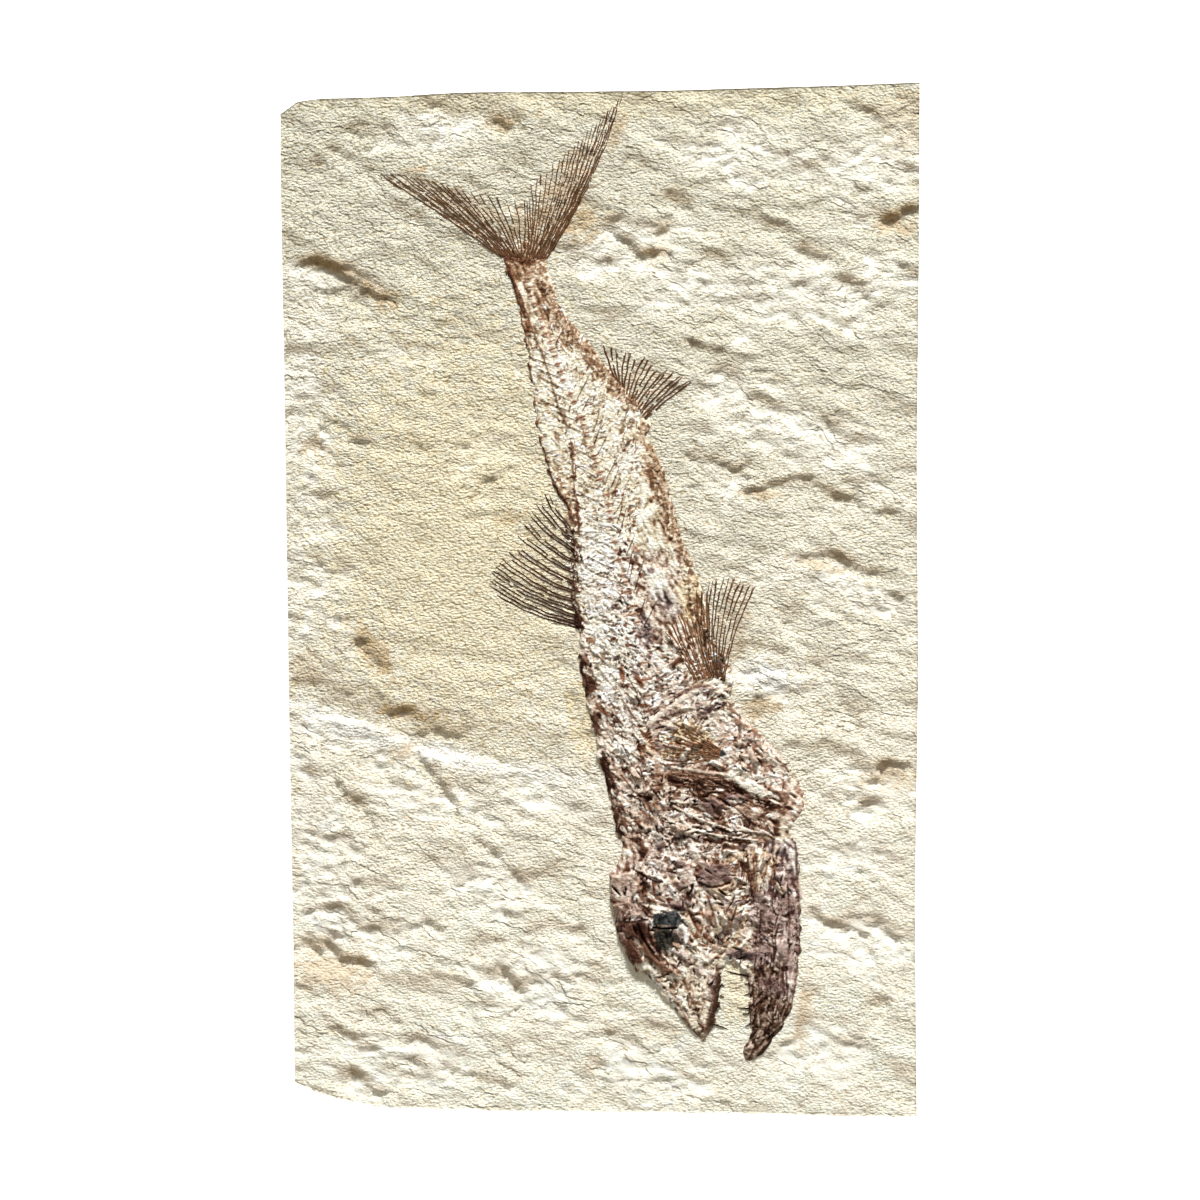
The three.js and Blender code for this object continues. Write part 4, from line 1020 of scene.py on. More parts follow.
# Ledges run with the low ground on the right hand; each is (drop, reach, points).
LEDGES = [
    (1.5, 10, [(-66, 67), (-58, 69.2), (-53.5, 67.5), (-48.5, 62.8), (-41, 60)]),
    (0.8, 5, [(-65, 65.4), (-55.6, 63.4), (-50.2, 62.6), (-46, 58.2), (-42, 58.6)]),
    (0.8, 4, [(-57.6, 91), (-53.7, 92.6), (-49.4, 90), (-47.4, 87.6), (-42.9, 80)]),
    (0.7, 4, [(-52, 97.2), (-49.4, 95.2), (-47.4, 94.4)]),
    (0.8, 5, [(-24.6, 95.4), (-20.3, 97.9), (-17, 97.2)]),
    (0.5, 3, [(24.2, 103.6), (35.8, 103.6)]),
    (0.7, 4, [(37, 102.8), (42.1, 100.2)]),
    (0.8, 4, [(51.4, 102.8), (55, 100), (58, 96.6)]),
    (1.3, 6, [(55.9, 77.1), (60.2, 78.4), (66, 81)]),
    (0.8, 4, [(56.8, 74.9), (61.4, 73.3), (66, 72.9)]),
    (0.6, 4, [(19.5, 84.9), (24.1, 86.1), (29.2, 86.1)]),
    (0.7, 5, [(30, 81), (33.5, 78.4), (37.2, 76.7), (40.5, 74.9)]),
    (0.6, 4, [(37.8, 79.2), (42.9, 80.2), (49.4, 83.4)]),
    (0.7, 4, [(40, 71.4), (46.8, 68.6)]),
    (1.2, 6, [(0.1, 83.5), (4.4, 74.9), (7.4, 71.4), (9.9, 70.2), (12.9, 72), (13.3, 81), (14.2, 85.7)]),
    (0.6, 3, [(15.2, 81), (18.4, 78.8)]),
    (0.9, 5, [(16.8, 53.3), (21.5, 52.3), (26, 50.2)]),
    (0.9, 6, [(-63.5, 39.2), (-56.4, 39.2), (-53.3, 35.8), (-50.2, 34.1), (-47.2, 32.1), (-43.9, 29.9)]),
    (0.6, 3, [(-36.6, 42.3), (-33.5, 40.7)]),
    (0.7, 4, [(-38.6, 31.5), (-34.3, 30.7)]),
    (0.8, 4, [(-62.3, 29.4), (-59.6, 31.5), (-57.6, 34.5), (-55.3, 35.8)]),
    (0.8, 4, [(-27.6, 20.9), (-23.3, 23.9), (-19.1, 26.8), (-16, 26.8)]),
    (0.6, 4, [(-28.8, 16.2), (-23.3, 17.4), (-17.2, 19.1)]),
    (0.7, 5, [(29.2, 40.9), (34.3, 40.3), (36.6, 39), (40.5, 38.6)]),
    (0.7, 4, [(40.5, 37.2), (43.1, 35.8), (45.1, 32.9)]),
    (0.6, 4, [(46, 36.2), (49.6, 34.7)]),
    (0.7, 4, [(15.4, 32.9), (17.6, 30.1), (20.5, 30.3)]),
    (1.1, 5, [(21.6, 30.8), (23, 28.4), (26.6, 26.8), (30, 27), (31.2, 29)]),
    (1.1, 5, [(27.6, 25.6), (30, 23), (33.4, 22.2), (36, 24.4)]),
    (1.0, 6, [(34.6, 25.6), (38.6, 25.2), (42.4, 24.8), (46.8, 22.6)]),
    (1.1, 7, [(45, 23.2), (48.6, 21.4), (53.4, 20.2), (58.4, 18), (66, 16)]),
    (0.6, 2.5, [(24.9, 9.6), (26, 11.5), (27, 14.8), (28.8, 17.6)]),
    (0.8, 5, [(39.4, 10.3), (41.9, 9.3), (46.8, 8.5), (48.4, 9.3), (52.1, 6.6), (57.6, 4.8), (59.8, 3.4)]),
    (0.7, 4, [(59, 1.5), (62.1, 0.1)]),
    (1.0, 4, [(-51.5, -8.1), (-47.8, -8.9), (-44.7, -13.1), (-42.9, -15)]),
    (0.8, 4, [(-43.5, -22.1), (-37.4, -22.5)]),
    (0.8, 5, [(-38.6, -25.6), (-36.2, -27.4), (-31, -26.8), (-24.2, -27)]),
    (1.4, 9, [(-4, -35.6), (-20.3, -33.9), (-30.5, -32.3), (-38.4, -29.9), (-44.7, -26.2), (-54.7, -23.5),
              (-66, -21.2)]),
    (1.1, 5, [(-38.6, -29.4), (-35.4, -33.3), (-32.7, -37.6), (-28.4, -41.5), (-27.6, -45)]),
    (0.9, 5, [(-26.2, -47), (-23.7, -49.6), (-19.1, -53.9), (-10.3, -62.5)]),
    (0.8, 4, [(-54.5, -32.1), (-52.9, -36.8), (-49, -41.1), (-46.8, -45.3), (-44.3, -51.3)]),
    (0.8, 4, [(-63.5, -64.7), (-59.6, -63.7), (-54.1, -61.7), (-51, -61.2)]),
    (0.7, 4, [(37.6, -1.1), (40.9, -1.9), (43.5, -3.2), (44.1, -0.7), (48.2, 0.1)]),
    (0.9, 5, [(55.7, -31.1), (51.7, -27.8), (49.8, -23.3), (46.2, -16.6), (39.8, -8.9), (37.2, -5.2),
              (33.3, -4.2)]),
    (1.4, 8, [(54, -37.4), (56.4, -35.2), (58.8, -33.7), (66, -33.9)]),
    (0.7, 4, [(-35.6, -64.1), (-30.9, -67.6)]),
    (0.9, 5, [(-9.1, -64.9), (-12.5, -60.2), (-16.8, -56.4)]),
    (0.7, 4, [(-5.2, -65.7), (-1.7, -69.2)]),
    (1.0, 5, [(-22.9, -74.3), (-19.1, -75.9), (-16.4, -78.6), (-15.6, -81.6), (-12.9, -85.1)]),
    (0.7, 4, [(-30.1, -77.3), (-24.2, -80.8)]),
    (0.7, 4, [(-30.5, -80.8), (-23.7, -85.3)]),
    (0.8, 4, [(-42.9, -88.6), (-39.6, -89.8), (-35.4, -89.4), (-28.8, -91.8)]),
    (1.5, 8, [(-66, -69.8), (-55.3, -71.2), (-49, -73.1), (-43.9, -77.3)]),
    (0.9, 4, [(-54.5, -98.8), (-50.6, -97.1), (-45.6, -101), (-42.1, -97.9), (-38.2, -93.7)]),
    (0.7, 3, [(-25.8, -100.4), (-22.3, -99.6)]),
    (0.7, 3, [(-19.5, -100), (-16.4, -97.9)]),
    (1.0, 6, [(41.7, -63.5), (47, -65.3), (53.1, -68), (56.3, -68.8)]),
    (1.0, 5, [(57.6, -63.5), (56.8, -68), (54.9, -73.7), (53.1, -76.3)]),
    (0.9, 5, [(57.2, -67), (62.9, -69.2)]),
    (0.9, 4, [(59, -80.2), (57.6, -85.1), (54.9, -88.8)]),
    (0.8, 5, [(51.5, -41), (58.4, -40.7)]),
    (0.7, 4, [(28.8, -20.3), (35.4, -19.3), (37, -20.3)]),
    (0.6, 4, [(3, -82), (1.4, -86.6), (5, -88.4)]),
    (0.6, 4, [(46, -88), (50, -90.4), (56, -92)]),
    (0.6, 4, [(8, -98), (16, -97), (24, -98.4)]),
]

# Fresh flake scars: middle, radii, lean. Here the stone is whiter, smoother and lumpy.
SCARS = [
    ((-60, 38), (6, 26), 5), ((-58, 5), (7, 14), 0), ((-55, -28), (12, 6), -10),
    ((-36, -38), (16, 7), -28), ((-58, -48), (7, 14), 10), ((-12, -40), (12, 5), -8),
    ((-55, 66), (9, 3.5), -12), ((-50, -66), (14, 6), -5), ((-20, -60), (10, 6), -35),
    ((-14, -78), (12, 7), 0), ((-40, -94), (16, 6), -5), ((4, 72), (14, 6), 20),
    ((30, 62), (24, 6), -12), ((52, 64), (14, 8), -10), ((40, 34), (24, 6), -22),
    ((26, 22), (6, 4), -20), ((56, 88), (10, 8), 20), ((28, 92), (14, 6), -15),
    ((34, -17), (8, 4), -10), ((50, 2), (14, 4), -12), ((56, -38), (10, 5), 0),
    ((52, -68), (12, 7), -10), ((44, -92), (14, 6), 0), ((10, -96), (14, 5), 0),
    ((-26, 28), (10, 5), 25), ((-40, 50), (8, 4), 0), ((48, -52), (8, 6), 0), ((-34, 96), (12, 4), 10),
]

# Patches of colour. The tan patches that lie on ledges are painted shade, and the white bands beside ledges
# are fresh white stone with painted highlight; the band along the tail end is darker; the rest are stains.
STAINS_AND_PAINTED_LIGHT = [
    # middle, radii, lean, colour, strength
    ((-28, 14), (30, 48), 0, STONE_PEBBLE, 0.6),
    ((-52, -25.4), (14, 2.8), -20, STONE_FRESH, 0.9),
    ((-30, -32), (12, 2.6), -16, STONE_FRESH, 0.9),
    ((-12, -35.2), (10, 2), -8, STONE_FRESH, 0.8),
    ((34, -15.5), (7, 4), -15, STONE_FRESH, 0.9),
    ((0, 103), (70, 5), 0, STONE_PEBBLE * 0.75, 0.5),
    ((-3, -25), (3.5, 9), 5, STONE_YELLOW, 0.4),
    ((-27, 79.4), (15, 3.8), -30, TAIL_TAN, 0.5),
    ((-7, 83), (4.6, 11), -24, TAIL_TAN, 0.6),
    ((-14.5, 76), (5.5, 4.4), 0, TAIL_TAN, 0.6),
    ((33, -22), (4.4, 2.4), 15, STONE_TAN_AND_SHADE, 0.6),
    ((60, -36.5), (8, 2), 0, STONE_TAN_AND_SHADE, 0.5),
    ((-54, -76), (9, 4.5), -8, STONE_TAN_AND_SHADE, 0.45),
    ((41.5, -84), (1.6, 8), -10, STONE_TAN_AND_SHADE, 0.5),
    ((-3.6, 77), (3.4, 4), 20, STONE_TAN_AND_SHADE, 0.6),
    ((3.4, 96), (1.6, 5), -20, STONE_TAN_AND_SHADE, 0.5),
    ((28, -79), (3, 8), 0, STONE_YELLOW, 0.3),
    ((10, 45), (7, 4), -10, TAIL_TAN, 0.3),
    ((-12, 7), (7, 9), -20, TAIL_TAN, 0.22),
    ((27, -6), (4, 10), -10, TAIL_TAN, 0.45),
    ((62, 97), (6, 8), 0, STONE_TAN_AND_SHADE, 0.25),
    ((-46, -11), (2.6, 7), 35, STONE_TAN_AND_SHADE, 0.6),
    ((-38, -23), (8, 1.6), -4, STONE_TAN_AND_SHADE, 0.7),
    ((-40, -31), (3, 2), 0, STONE_TAN_AND_SHADE, 0.5),
    ((-60, -14), (4, 4), 0, STONE_TAN_AND_SHADE, 0.35),
    ((-18, 16.6), (4, 1.4), 5, STONE_TAN_AND_SHADE, 0.45),
    ((-20.5, 97), (3, 2), 0, STONE_TAN_AND_SHADE, 0.5),
    ((-38, 87.6), (3, 1), 0, STONE_TAN_AND_SHADE, 0.5),
    ((-45, 62), (4, 2.4), -40, STONE_TAN_AND_SHADE, 0.6),
    ((-58, 31), (4, 2), -20, STONE_TAN_AND_SHADE, 0.4),
    ((12, 71), (3, 1.6), 0, STONE_TAN_AND_SHADE, 0.5),
    ((60, 76), (4, 2), 0, STONE_TAN_AND_SHADE, 0.55),
    ((33, 21.6), (5, 1.4), -5, STONE_TAN_AND_SHADE, 0.5),
    ((45, 7), (7, 1.4), -15, STONE_TAN_AND_SHADE, 0.45),
]


SCARP = 0.55  # half width of the slope of a ledge
LEDGE_FADE = 0.25  # share of a ledge's length over which it dies away at each end
STRETCH_OVERLAP = 0.08  # share of its length by which a stretch of a ledge overlaps the next


def ledge_drop(x, y, drop, reach, points):
    """How far the ground lies below the general face beside one ledge."""
    deepest = np.zeros(x.shape)
    count = len(points) - 1
    for k, ((ax, ay), (bx, by)) in enumerate(zip(points[:-1], points[1:])):
        length = math.hypot(bx - ax, by - ay)
        share = ((x - ax) * (bx - ax) + (y - ay) * (by - ay)) / length**2
        right = ((x - ax) * (by - ay) - (y - ay) * (bx - ax)) / length
        whole = (k + np.clip(share, 0, 1)) / count
        fade = ramp(whole, -0.02, LEDGE_FADE) * ramp(1 - whole, -0.02, LEDGE_FADE)
        near = (share >= -STRETCH_OVERLAP) & (share <= 1 + STRETCH_OVERLAP)
        near &= (right > -SCARP) & (right < reach)
        profile = ramp(right, -SCARP, SCARP) * np.clip(1 - right / reach, 0, 1) ** 1.2
        deepest = np.where(near, np.maximum(deepest, drop * fade * profile), deepest)
    return deepest


def fresh_stone(x, y):
    """1 inside a fresh flake scar, 0 on the grainy skin of the bed."""
    warp_x = x + noises(x, y, (4, 9, 7, 38), (1.6, 3, 2.4, 39))
    warp_y = y + noises(x, y, (3, 9, 7, 47), (1.2, 3, 2.4, 48))
    near = np.full(x.shape, -1.0)
    for (mx, my), (rx, ry), lean in SCARS:
        u, v = turned(warp_x - mx, warp_y - my, lean)
        near = np.maximum(near, 1.1 - np.hypot(u / rx, v / ry))
    u, v = turned(warp_x, warp_y, -14)
    patchy = noises(u, v, (1, 12, 5, 40), (0.6, 5, 2.2, 46))
    shards = noises(u, v, (1, 3.4, 1.5, 55), (0.7, 1.5, 0.8, 56))
    return ramp(near + 0.6 * patchy, -0.25, 0.6) * (0.3 + 0.7 * ramp(shards, -0.3, 0.4))


BED = 0.28  # thickness of a split bed
FLAT_SHARE = 0.7  # share of a bed that is flat before its riser


def terraces(height):
    """Height cut into flat beds with short steep risers between them."""
    level = height / BED
    whole = np.floor(level)
    return BED * (whole + ramp(level - whole, FLAT_SHARE, 1.0))


def calm_stone(x, y):
    """1 where the bed is left almost whole, 0 where it has split into steps."""
    beside_back = np.exp(-((x + 24) / 24) ** 2 - ((y - 8) / 36) ** 2)
    beside_jaw = 0.5 * ramp(x, 10, 40) * ramp(-y, 30, 60)
    return np.clip(beside_back + beside_jaw, 0, 1)


def stone_relief(x, y):
    """Ledges, scars, split beds and swells of the fossil face, without the grain."""
    warp_x = x + noises(x, y, (1.3, 4.5, 4.5, 31), (0.7, 1.6, 1.6, 32))
    warp_y = y + noises(x, y, (1.3, 4.5, 4.5, 33), (0.7, 1.6, 1.6, 34))
    dropped = np.zeros(x.shape)
    for drop, reach, points in LEDGES:
        p, pad = np.array(points), reach + 4
        near = (x > p[:, 0].min() - pad) & (x < p[:, 0].max() + pad)
        near &= (y > p[:, 1].min() - pad) & (y < p[:, 1].max() + pad)
        dropped[near] += ledge_drop(warp_x[near], warp_y[near], drop, reach, points)
    fresh = fresh_stone(x, y)
    u, v = turned(x, y, -12)
    lumps = 0.5 * np.abs(noise(u / 6, v / 3, 35)) + 0.4 * np.abs(noise(u / 2.8, v / 1.6, 36))
    swell = 0.2 * noise(x / 13, y / 8, 37) + noises(u, v, (0.16, 6.5, 4, 49), (0.15, 3, 1.8, 50))
    u, v = turned(warp_x, warp_y, -22)
    beds = terraces(noises(u, v, (0.5, 13, 6, 57), (0.26, 4.6, 2.4, 58)))
    return swell + beds * (1 - 0.8 * calm_stone(x, y)) - fresh * (0.25 + 0.9 * lumps) - 0.9 * dropped


def stone_grain(x, y):
    """Low scaly grain, longer across the plate than along it, climbing slightly to the right."""
    u, v = turned(x, y, 9)
    return noises(u, v, (0.035, 1.9, 1.3, 43), (0.05, 1.3, 1, 44))


fish_mask = blurred((canvas.owner >= 0).astype(float), 5, 2)


def fish_cover(x, y):
    """1 over the pressed fish, fading to 0 a little way from it."""
    return fish_mask[canvas.cells_at(x, y)]


UNDER_FISH = 0.35  # how far the stone lies under the bedding face below the fish


def stone_height(x, y):
    """Height of the fossil face in the part's frame."""
    cover = fish_cover(x, y)
    calm = 1 - 0.92 * ramp(cover, 0, 0.5)
    inner = ramp(cover, 0.55, 0.95)
    return BEDDING + calm * stone_relief(x, y) + stone_grain(x, y) * (1 - 0.8 * inner) - UNDER_FISH * inner


def stone_color(x, y, relief, grain):
    """Cream stone, white where fresh and stained in places, with painted light: lighter towards the head,
    shade on slopes away from the key light and in pits.
    """
    # Painted fall of light: lighter towards the head end.
    along = ramp(-y, -100, 100)[..., None]
    color = STONE_TOP * (1 - along) + STONE_BOTTOM * along
    fresh = fresh_stone(x, y)[..., None]
    color = color + 0.6 * fresh * (STONE_FRESH - color)
    color = color * (1 + noises(x, y, (0.06, 11, 7, 51), (0.07, 3, 2, 52)))[..., None]
    # Painted shade: slopes that face away from the key light are painted tan, and the steepest a deeper
    # brown.
    shaded = np.gradient(blurred(relief, 2, 1), axis=0) / 0.5
    low = 1.9 * blurred(np.clip(shaded, 0, 1), 1, 1)[..., None]
    color = color + np.clip(low - 0.1, 0, 0.85) * (STONE_TAN_AND_SHADE - color)
    color = color + np.clip(low - 0.8, 0, 0.4) * (STONE_DEEP_SHADE - color)
    # Painted shade: the pits of the grain are painted darker and warmer.
    pit = np.clip(-grain / 0.2, 0, 1)[..., None]
    color = color + 0.4 * pit * (1 - 0.6 * fresh) * (STONE_PIT - color)
    # Stains, and painted shade and highlight beside ledges.
    for (mx, my), (rx, ry), lean, tint, strength in STAINS_AND_PAINTED_LIGHT:
        u, v = turned(x - mx, y - my, lean)
        ragged = noises(x, y, (0.9, 2.5, 2, 53), (0.8, 1.1, 0.8, 54))
        away = (u / rx) ** 2 + (v / ry) ** 2 + ragged
        color = color + (strength * (1 - ramp(away, 0.1, 1.3)))[..., None] * (tint - color)
    return np.clip(color, 0.02, 0.95)


# ------------------------------------------------------------ meshes


def add_mesh(name, vertices, faces, colors, material, replaces=(), grain=1.0):
    """Mesh object riding on the part's only body, with a colour and a strength of grain for each vertex.

    Vertices are in millimetres.
    """
    mesh = bpy.data.meshes.new(name)
    vertices = np.asarray(vertices, float) * MM
    mesh.from_pydata(vertices.tolist(), [], faces if isinstance(faces, list) else faces.tolist())
    layer = mesh.color_attributes.new("tint", "FLOAT_COLOR", "POINT")
    strength = np.ones((len(vertices), 1)) * np.reshape(grain, (-1, 1))
    rgba = np.concatenate([np.asarray(colors, float), strength], axis=1)
    layer.data.foreach_set("color", rgba.astype(np.float32).ravel())
    mesh.polygons.foreach_set("use_smooth", [True] * len(mesh.polygons))
    mesh.materials.append(material)
    made = bpy.data.objects.new(name, mesh)
    bpy.context.scene.collection.objects.link(made)
    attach(made, "root")
    if replaces:
        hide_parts(*replaces)
    return made


def add_node(tree, kind, inputs, **settings):
    """Shader node with its settings and inputs; an input is a value or the socket that it is linked to."""
    node = tree.nodes.new(kind)
    for name, value in settings.items():
        setattr(node, name, value)
    for name, value in inputs.items():
        if isinstance(value, bpy.types.NodeSocket):
            tree.links.new(value, node.inputs[name])
        else:
            node.inputs[name].default_value = value
    return node


def calculate(tree, operation, first, second=0):
    """Output of a math node on two inputs, each a socket or a number."""
    return add_node(tree, "ShaderNodeMath", {0: first, 1: second}, operation=operation).outputs[0]


BED_SIZE = (13, 5, 5)  # swells of the split beds along and across their lean
BED_LEAN = math.radians(-20)
BED_COUNT = 6  # beds in the whole range of the swells
RISER_START = 0.76  # share of a bed that is flat before its riser


def add_beds(tree, place, bed):
    """Low crisp ledges of split beds: the normal of their bump, and a mask of their risers for painted
    shade.

    The mesh's "beds" attribute says how strong they are at each vertex.
    """
    sheet = add_node(
        tree, "ShaderNodeMapping", {"Rotation": (0, 0, BED_LEAN), "Scale": BED_SIZE, "Vector": place},
        vector_type="TEXTURE")
    rolling = add_node(
        tree, "ShaderNodeTexNoise",
        {"Scale": 1.0, "Detail": 4.0, "Roughness": 0.5, "Vector": sheet.outputs[0]})
    level = calculate(tree, "MULTIPLY", rolling.outputs["Fac"], BED_COUNT)
    share = calculate(tree, "FRACT", level)
    riser = add_node(
        tree, "ShaderNodeMapRange", {"From Min": RISER_START, "Value": share},
        interpolation_type="SMOOTHSTEP")
    rise = riser.outputs["Result"]
    steps = calculate(tree, "ADD", calculate(tree, "FLOOR", level), rise)
    strength = add_node(tree, "ShaderNodeAttribute", {}, attribute_name="beds").outputs["Fac"]
    bump = add_node(tree, "ShaderNodeBump", {"Distance": bed * MM, "Strength": strength, "Height": steps})
    # Painted shade: a thin dark line along each riser.
    edge = calculate(tree, "MULTIPLY", calculate(tree, "SUBTRACT", 1, rise), rise)
    return bump.outputs["Normal"], calculate(tree, "MULTIPLY", edge, strength)


GRAIN_LEAN = math.radians(-9)
PEBBLE_SCALE = 0.9  # pebbles to a grain
SAND, DOMES = 1.3, 0.8  # shares of the sand and of the rounded pebbles in the grain
# Levels of the grain between which the painted shade of a hollow grows.
HOLLOW_TOP, HOLLOW_BOTTOM = 0.48, 0.04  # levels of the grain between which a hollow darkens
# Strength of the painted shade along the risers of split beds.
RISER_SHADE = 1.5  # how strongly the riser of a split bed darkens


def grain_material(name, roughness, grain, depth, hollow_shade, pit, specular, bed=0.0):
    """Matte mineral: the mesh's own colours with painted shade towards a pit colour in the grain's hollows,
    and a fine bump of pebbles.

    Grain is the size of a pebble across and along the part, depth the height of the bump and bed that of a
    split bed, in millimetres.
    """
    material = bpy.data.materials.new(name)
    material.use_nodes = True
    tree = material.node_tree
    shader = tree.nodes["Principled BSDF"]
    shader.inputs["Roughness"].default_value = roughness
    shader.inputs["Specular IOR Level"].default_value = specular
    place = tree.nodes.new("ShaderNodeTexCoord").outputs["Object"]
    scaled = add_node(tree, "ShaderNodeVectorMath", {0: place, "Scale": 1 / MM}, operation="SCALE")
    in_mm = scaled.outputs[0]
    per_grain = (1 / grain[0], 1 / grain[1], 1 / grain[1])
    turn = add_node(
        tree, "ShaderNodeMapping", {"Rotation": (0, 0, GRAIN_LEAN), "Scale": per_grain, "Vector": in_mm})
    at = turn.outputs[0]
    stipple = add_node(
        tree, "ShaderNodeTexNoise", {"Scale": 1.0, "Detail": 3.0, "Roughness": 0.6, "Vector": at})
    pebbles = add_node(tree, "ShaderNodeTexVoronoi", {"Scale": PEBBLE_SCALE, "Vector": at}, feature="F1")
    away = pebbles.outputs["Distance"]
    domes = calculate(tree, "MULTIPLY", calculate(tree, "MULTIPLY", away, away), DOMES)
    grains = calculate(tree, "SUBTRACT", calculate(tree, "MULTIPLY", stipple.outputs["Fac"], SAND), domes)
    tint = add_node(tree, "ShaderNodeAttribute", {}, attribute_name="tint")
    strength = tint.outputs["Alpha"]
    bump = add_node(
        tree, "ShaderNodeBump", {"Distance": depth * MM, "Strength": strength, "Height": grains})
    # Painted shade: the hollows of the grain are darkened towards the pit colour.
    hollow = add_node(
        tree, "ShaderNodeMapRange",
        {"From Min": HOLLOW_TOP, "From Max": HOLLOW_BOTTOM, "To Max": hollow_shade, "Value": grains})
    dark = calculate(tree, "MULTIPLY", hollow.outputs["Result"], strength)
    if bed:
        normal, edge = add_beds(tree, in_mm, bed)
        tree.links.new(normal, bump.inputs["Normal"])
        # Painted shade along the risers of split beds.
        dark = calculate(tree, "MAXIMUM", dark, calculate(tree, "MULTIPLY", edge, RISER_SHADE))
    mix = add_node(
        tree, "ShaderNodeMix", {"A": tint.outputs["Color"], "B": (*pit, 1), "Factor": dark},
        data_type="RGBA", blend_type="MULTIPLY")
    tree.links.new(bump.outputs["Normal"], shader.inputs["Normal"])
    tree.links.new(mix.outputs["Result"], shader.inputs["Base Color"])
    return material


# Colours that a hollow of the grain is multiplied by, as painted shade.
WARM_PIT = (0.56, 0.43, 0.24)
BROWN_PIT = (0.5, 0.38, 0.3)
STONE = grain_material("limestone", 0.95, (0.66, 0.44), 0.4, 0.62, WARM_PIT, 0.1, BED)
SKIN = grain_material("skin_film", 0.85, (0.6, 0.45), 0.18, 0.4, BROWN_PIT, 0.12)
BONE = grain_material("bone", 0.75, (0.6, 0.45), 0.16, 0.4, BROWN_PIT, 0.14)
EYE = grain_material("eye_film", 0.6, (0.6, 0.5), 0.14, 0.5, BROWN_PIT, 0.25)
RAY_BONE = grain_material("fin_ray", 0.75, (0.4, 0.4), 0.08, 0.4, BROWN_PIT, 0.12)


# ------------------------------------------------------------ the plate

ACROSS, ALONG = 196, 410  # cells of the fossil face
SIDE_STEPS = 9
SIDE_STONE = srgb(208, 199, 178)
# The sides are coloured darker than the fossil face, in uneven bands.
SIDE_DARK_BAND = srgb(170, 152, 122)
SIDE_BITE = 1.1  # how deep the sides are broken away


def corner_split(ring):
    """The rim as four sides, each from its low end to its high end: bottom, right, top, left."""
    x, y = ring.T
    corners = [np.argmax(across * x + along * y) for across, along in ((-1, -1), (1, -1), (1, 1), (-1, 1))]

    def run(side):
        first, last = corners[side], corners[(side + 1) % 4]
        return ring[(first + np.arange((last - first) % len(ring) + 1)) % len(ring)]

    return run(0), run(1), run(2)[::-1], run(3)[::-1]


def face_grid():
    """Points of the fossil face, blended from the plate's four sides."""
    bottom, right, top, left = corner_split(rim_of_plate())
    bottom, top = resample(bottom, ACROSS + 1), resample(top, ACROSS + 1)
    left, right = resample(left, ALONG + 1), resample(right, ALONG + 1)
    u = np.linspace(0, 1, ACROSS + 1)[None, :, None]
    v = np.linspace(0, 1, ALONG + 1)[:, None, None]
    sides = (1 - u) * left[:, None] + u * right[:, None] + (1 - v) * bottom[None] + v * top[None]
    low_corners = (1 - u) * (1 - v) * bottom[0] + u * (1 - v) * bottom[-1]
    high_corners = (1 - u) * v * top[0] + u * v * top[-1]
    return sides - low_corners - high_corners


def squares_between(number):
    """Faces between the points of a grid, each as the numbers of its four corners."""
    return np.stack([number[:-1, :-1], number[:-1, 1:], number[1:, 1:], number[1:, :-1]], axis=-1)


def side_rings(rim):
    """Rings of points down the broken sides, from under the rim to the flat back, and their colours."""
    run = np.roll(rim[:, :2], -1, axis=0) - np.roll(rim[:, :2], 1, axis=0)
    run /= np.linalg.norm(run, axis=1, keepdims=True)
    inward = np.stack([-run[:, 1], run[:, 0]], axis=1)
    around = np.arange(len(rim))
    rings, tints = [], []
    for step in range(1, SIDE_STEPS + 1):
        level = 1 - (step / SIDE_STEPS) ** 0.9
        layer = 0.6 * noise(around / 22, step * 3.7, 61) + 0.5 * noise(around / 3.3, step * 1.9, 62)
        layer += 0.9 * noise(around / 90, step * 5.3, 64)
        bite = np.clip(0.5 + 0.55 * layer, 0, 1.3) * SIDE_BITE
        height = rim[:, 2] * level if step < SIDE_STEPS else np.zeros(len(rim))
        rings.append(np.column_stack([rim[:, :2] + inward * bite[:, None], height]))
        # Uneven darker bands down the sides.
        darkening = 0.32 + 0.35 * noise(around / 16, step * 2.3, 63) + (0.2 if step % 2 else -0.1)
        tints.append(SIDE_STONE + np.clip(darkening, 0, 0.8)[:, None] * (SIDE_DARK_BAND - SIDE_STONE))
    return rings, tints


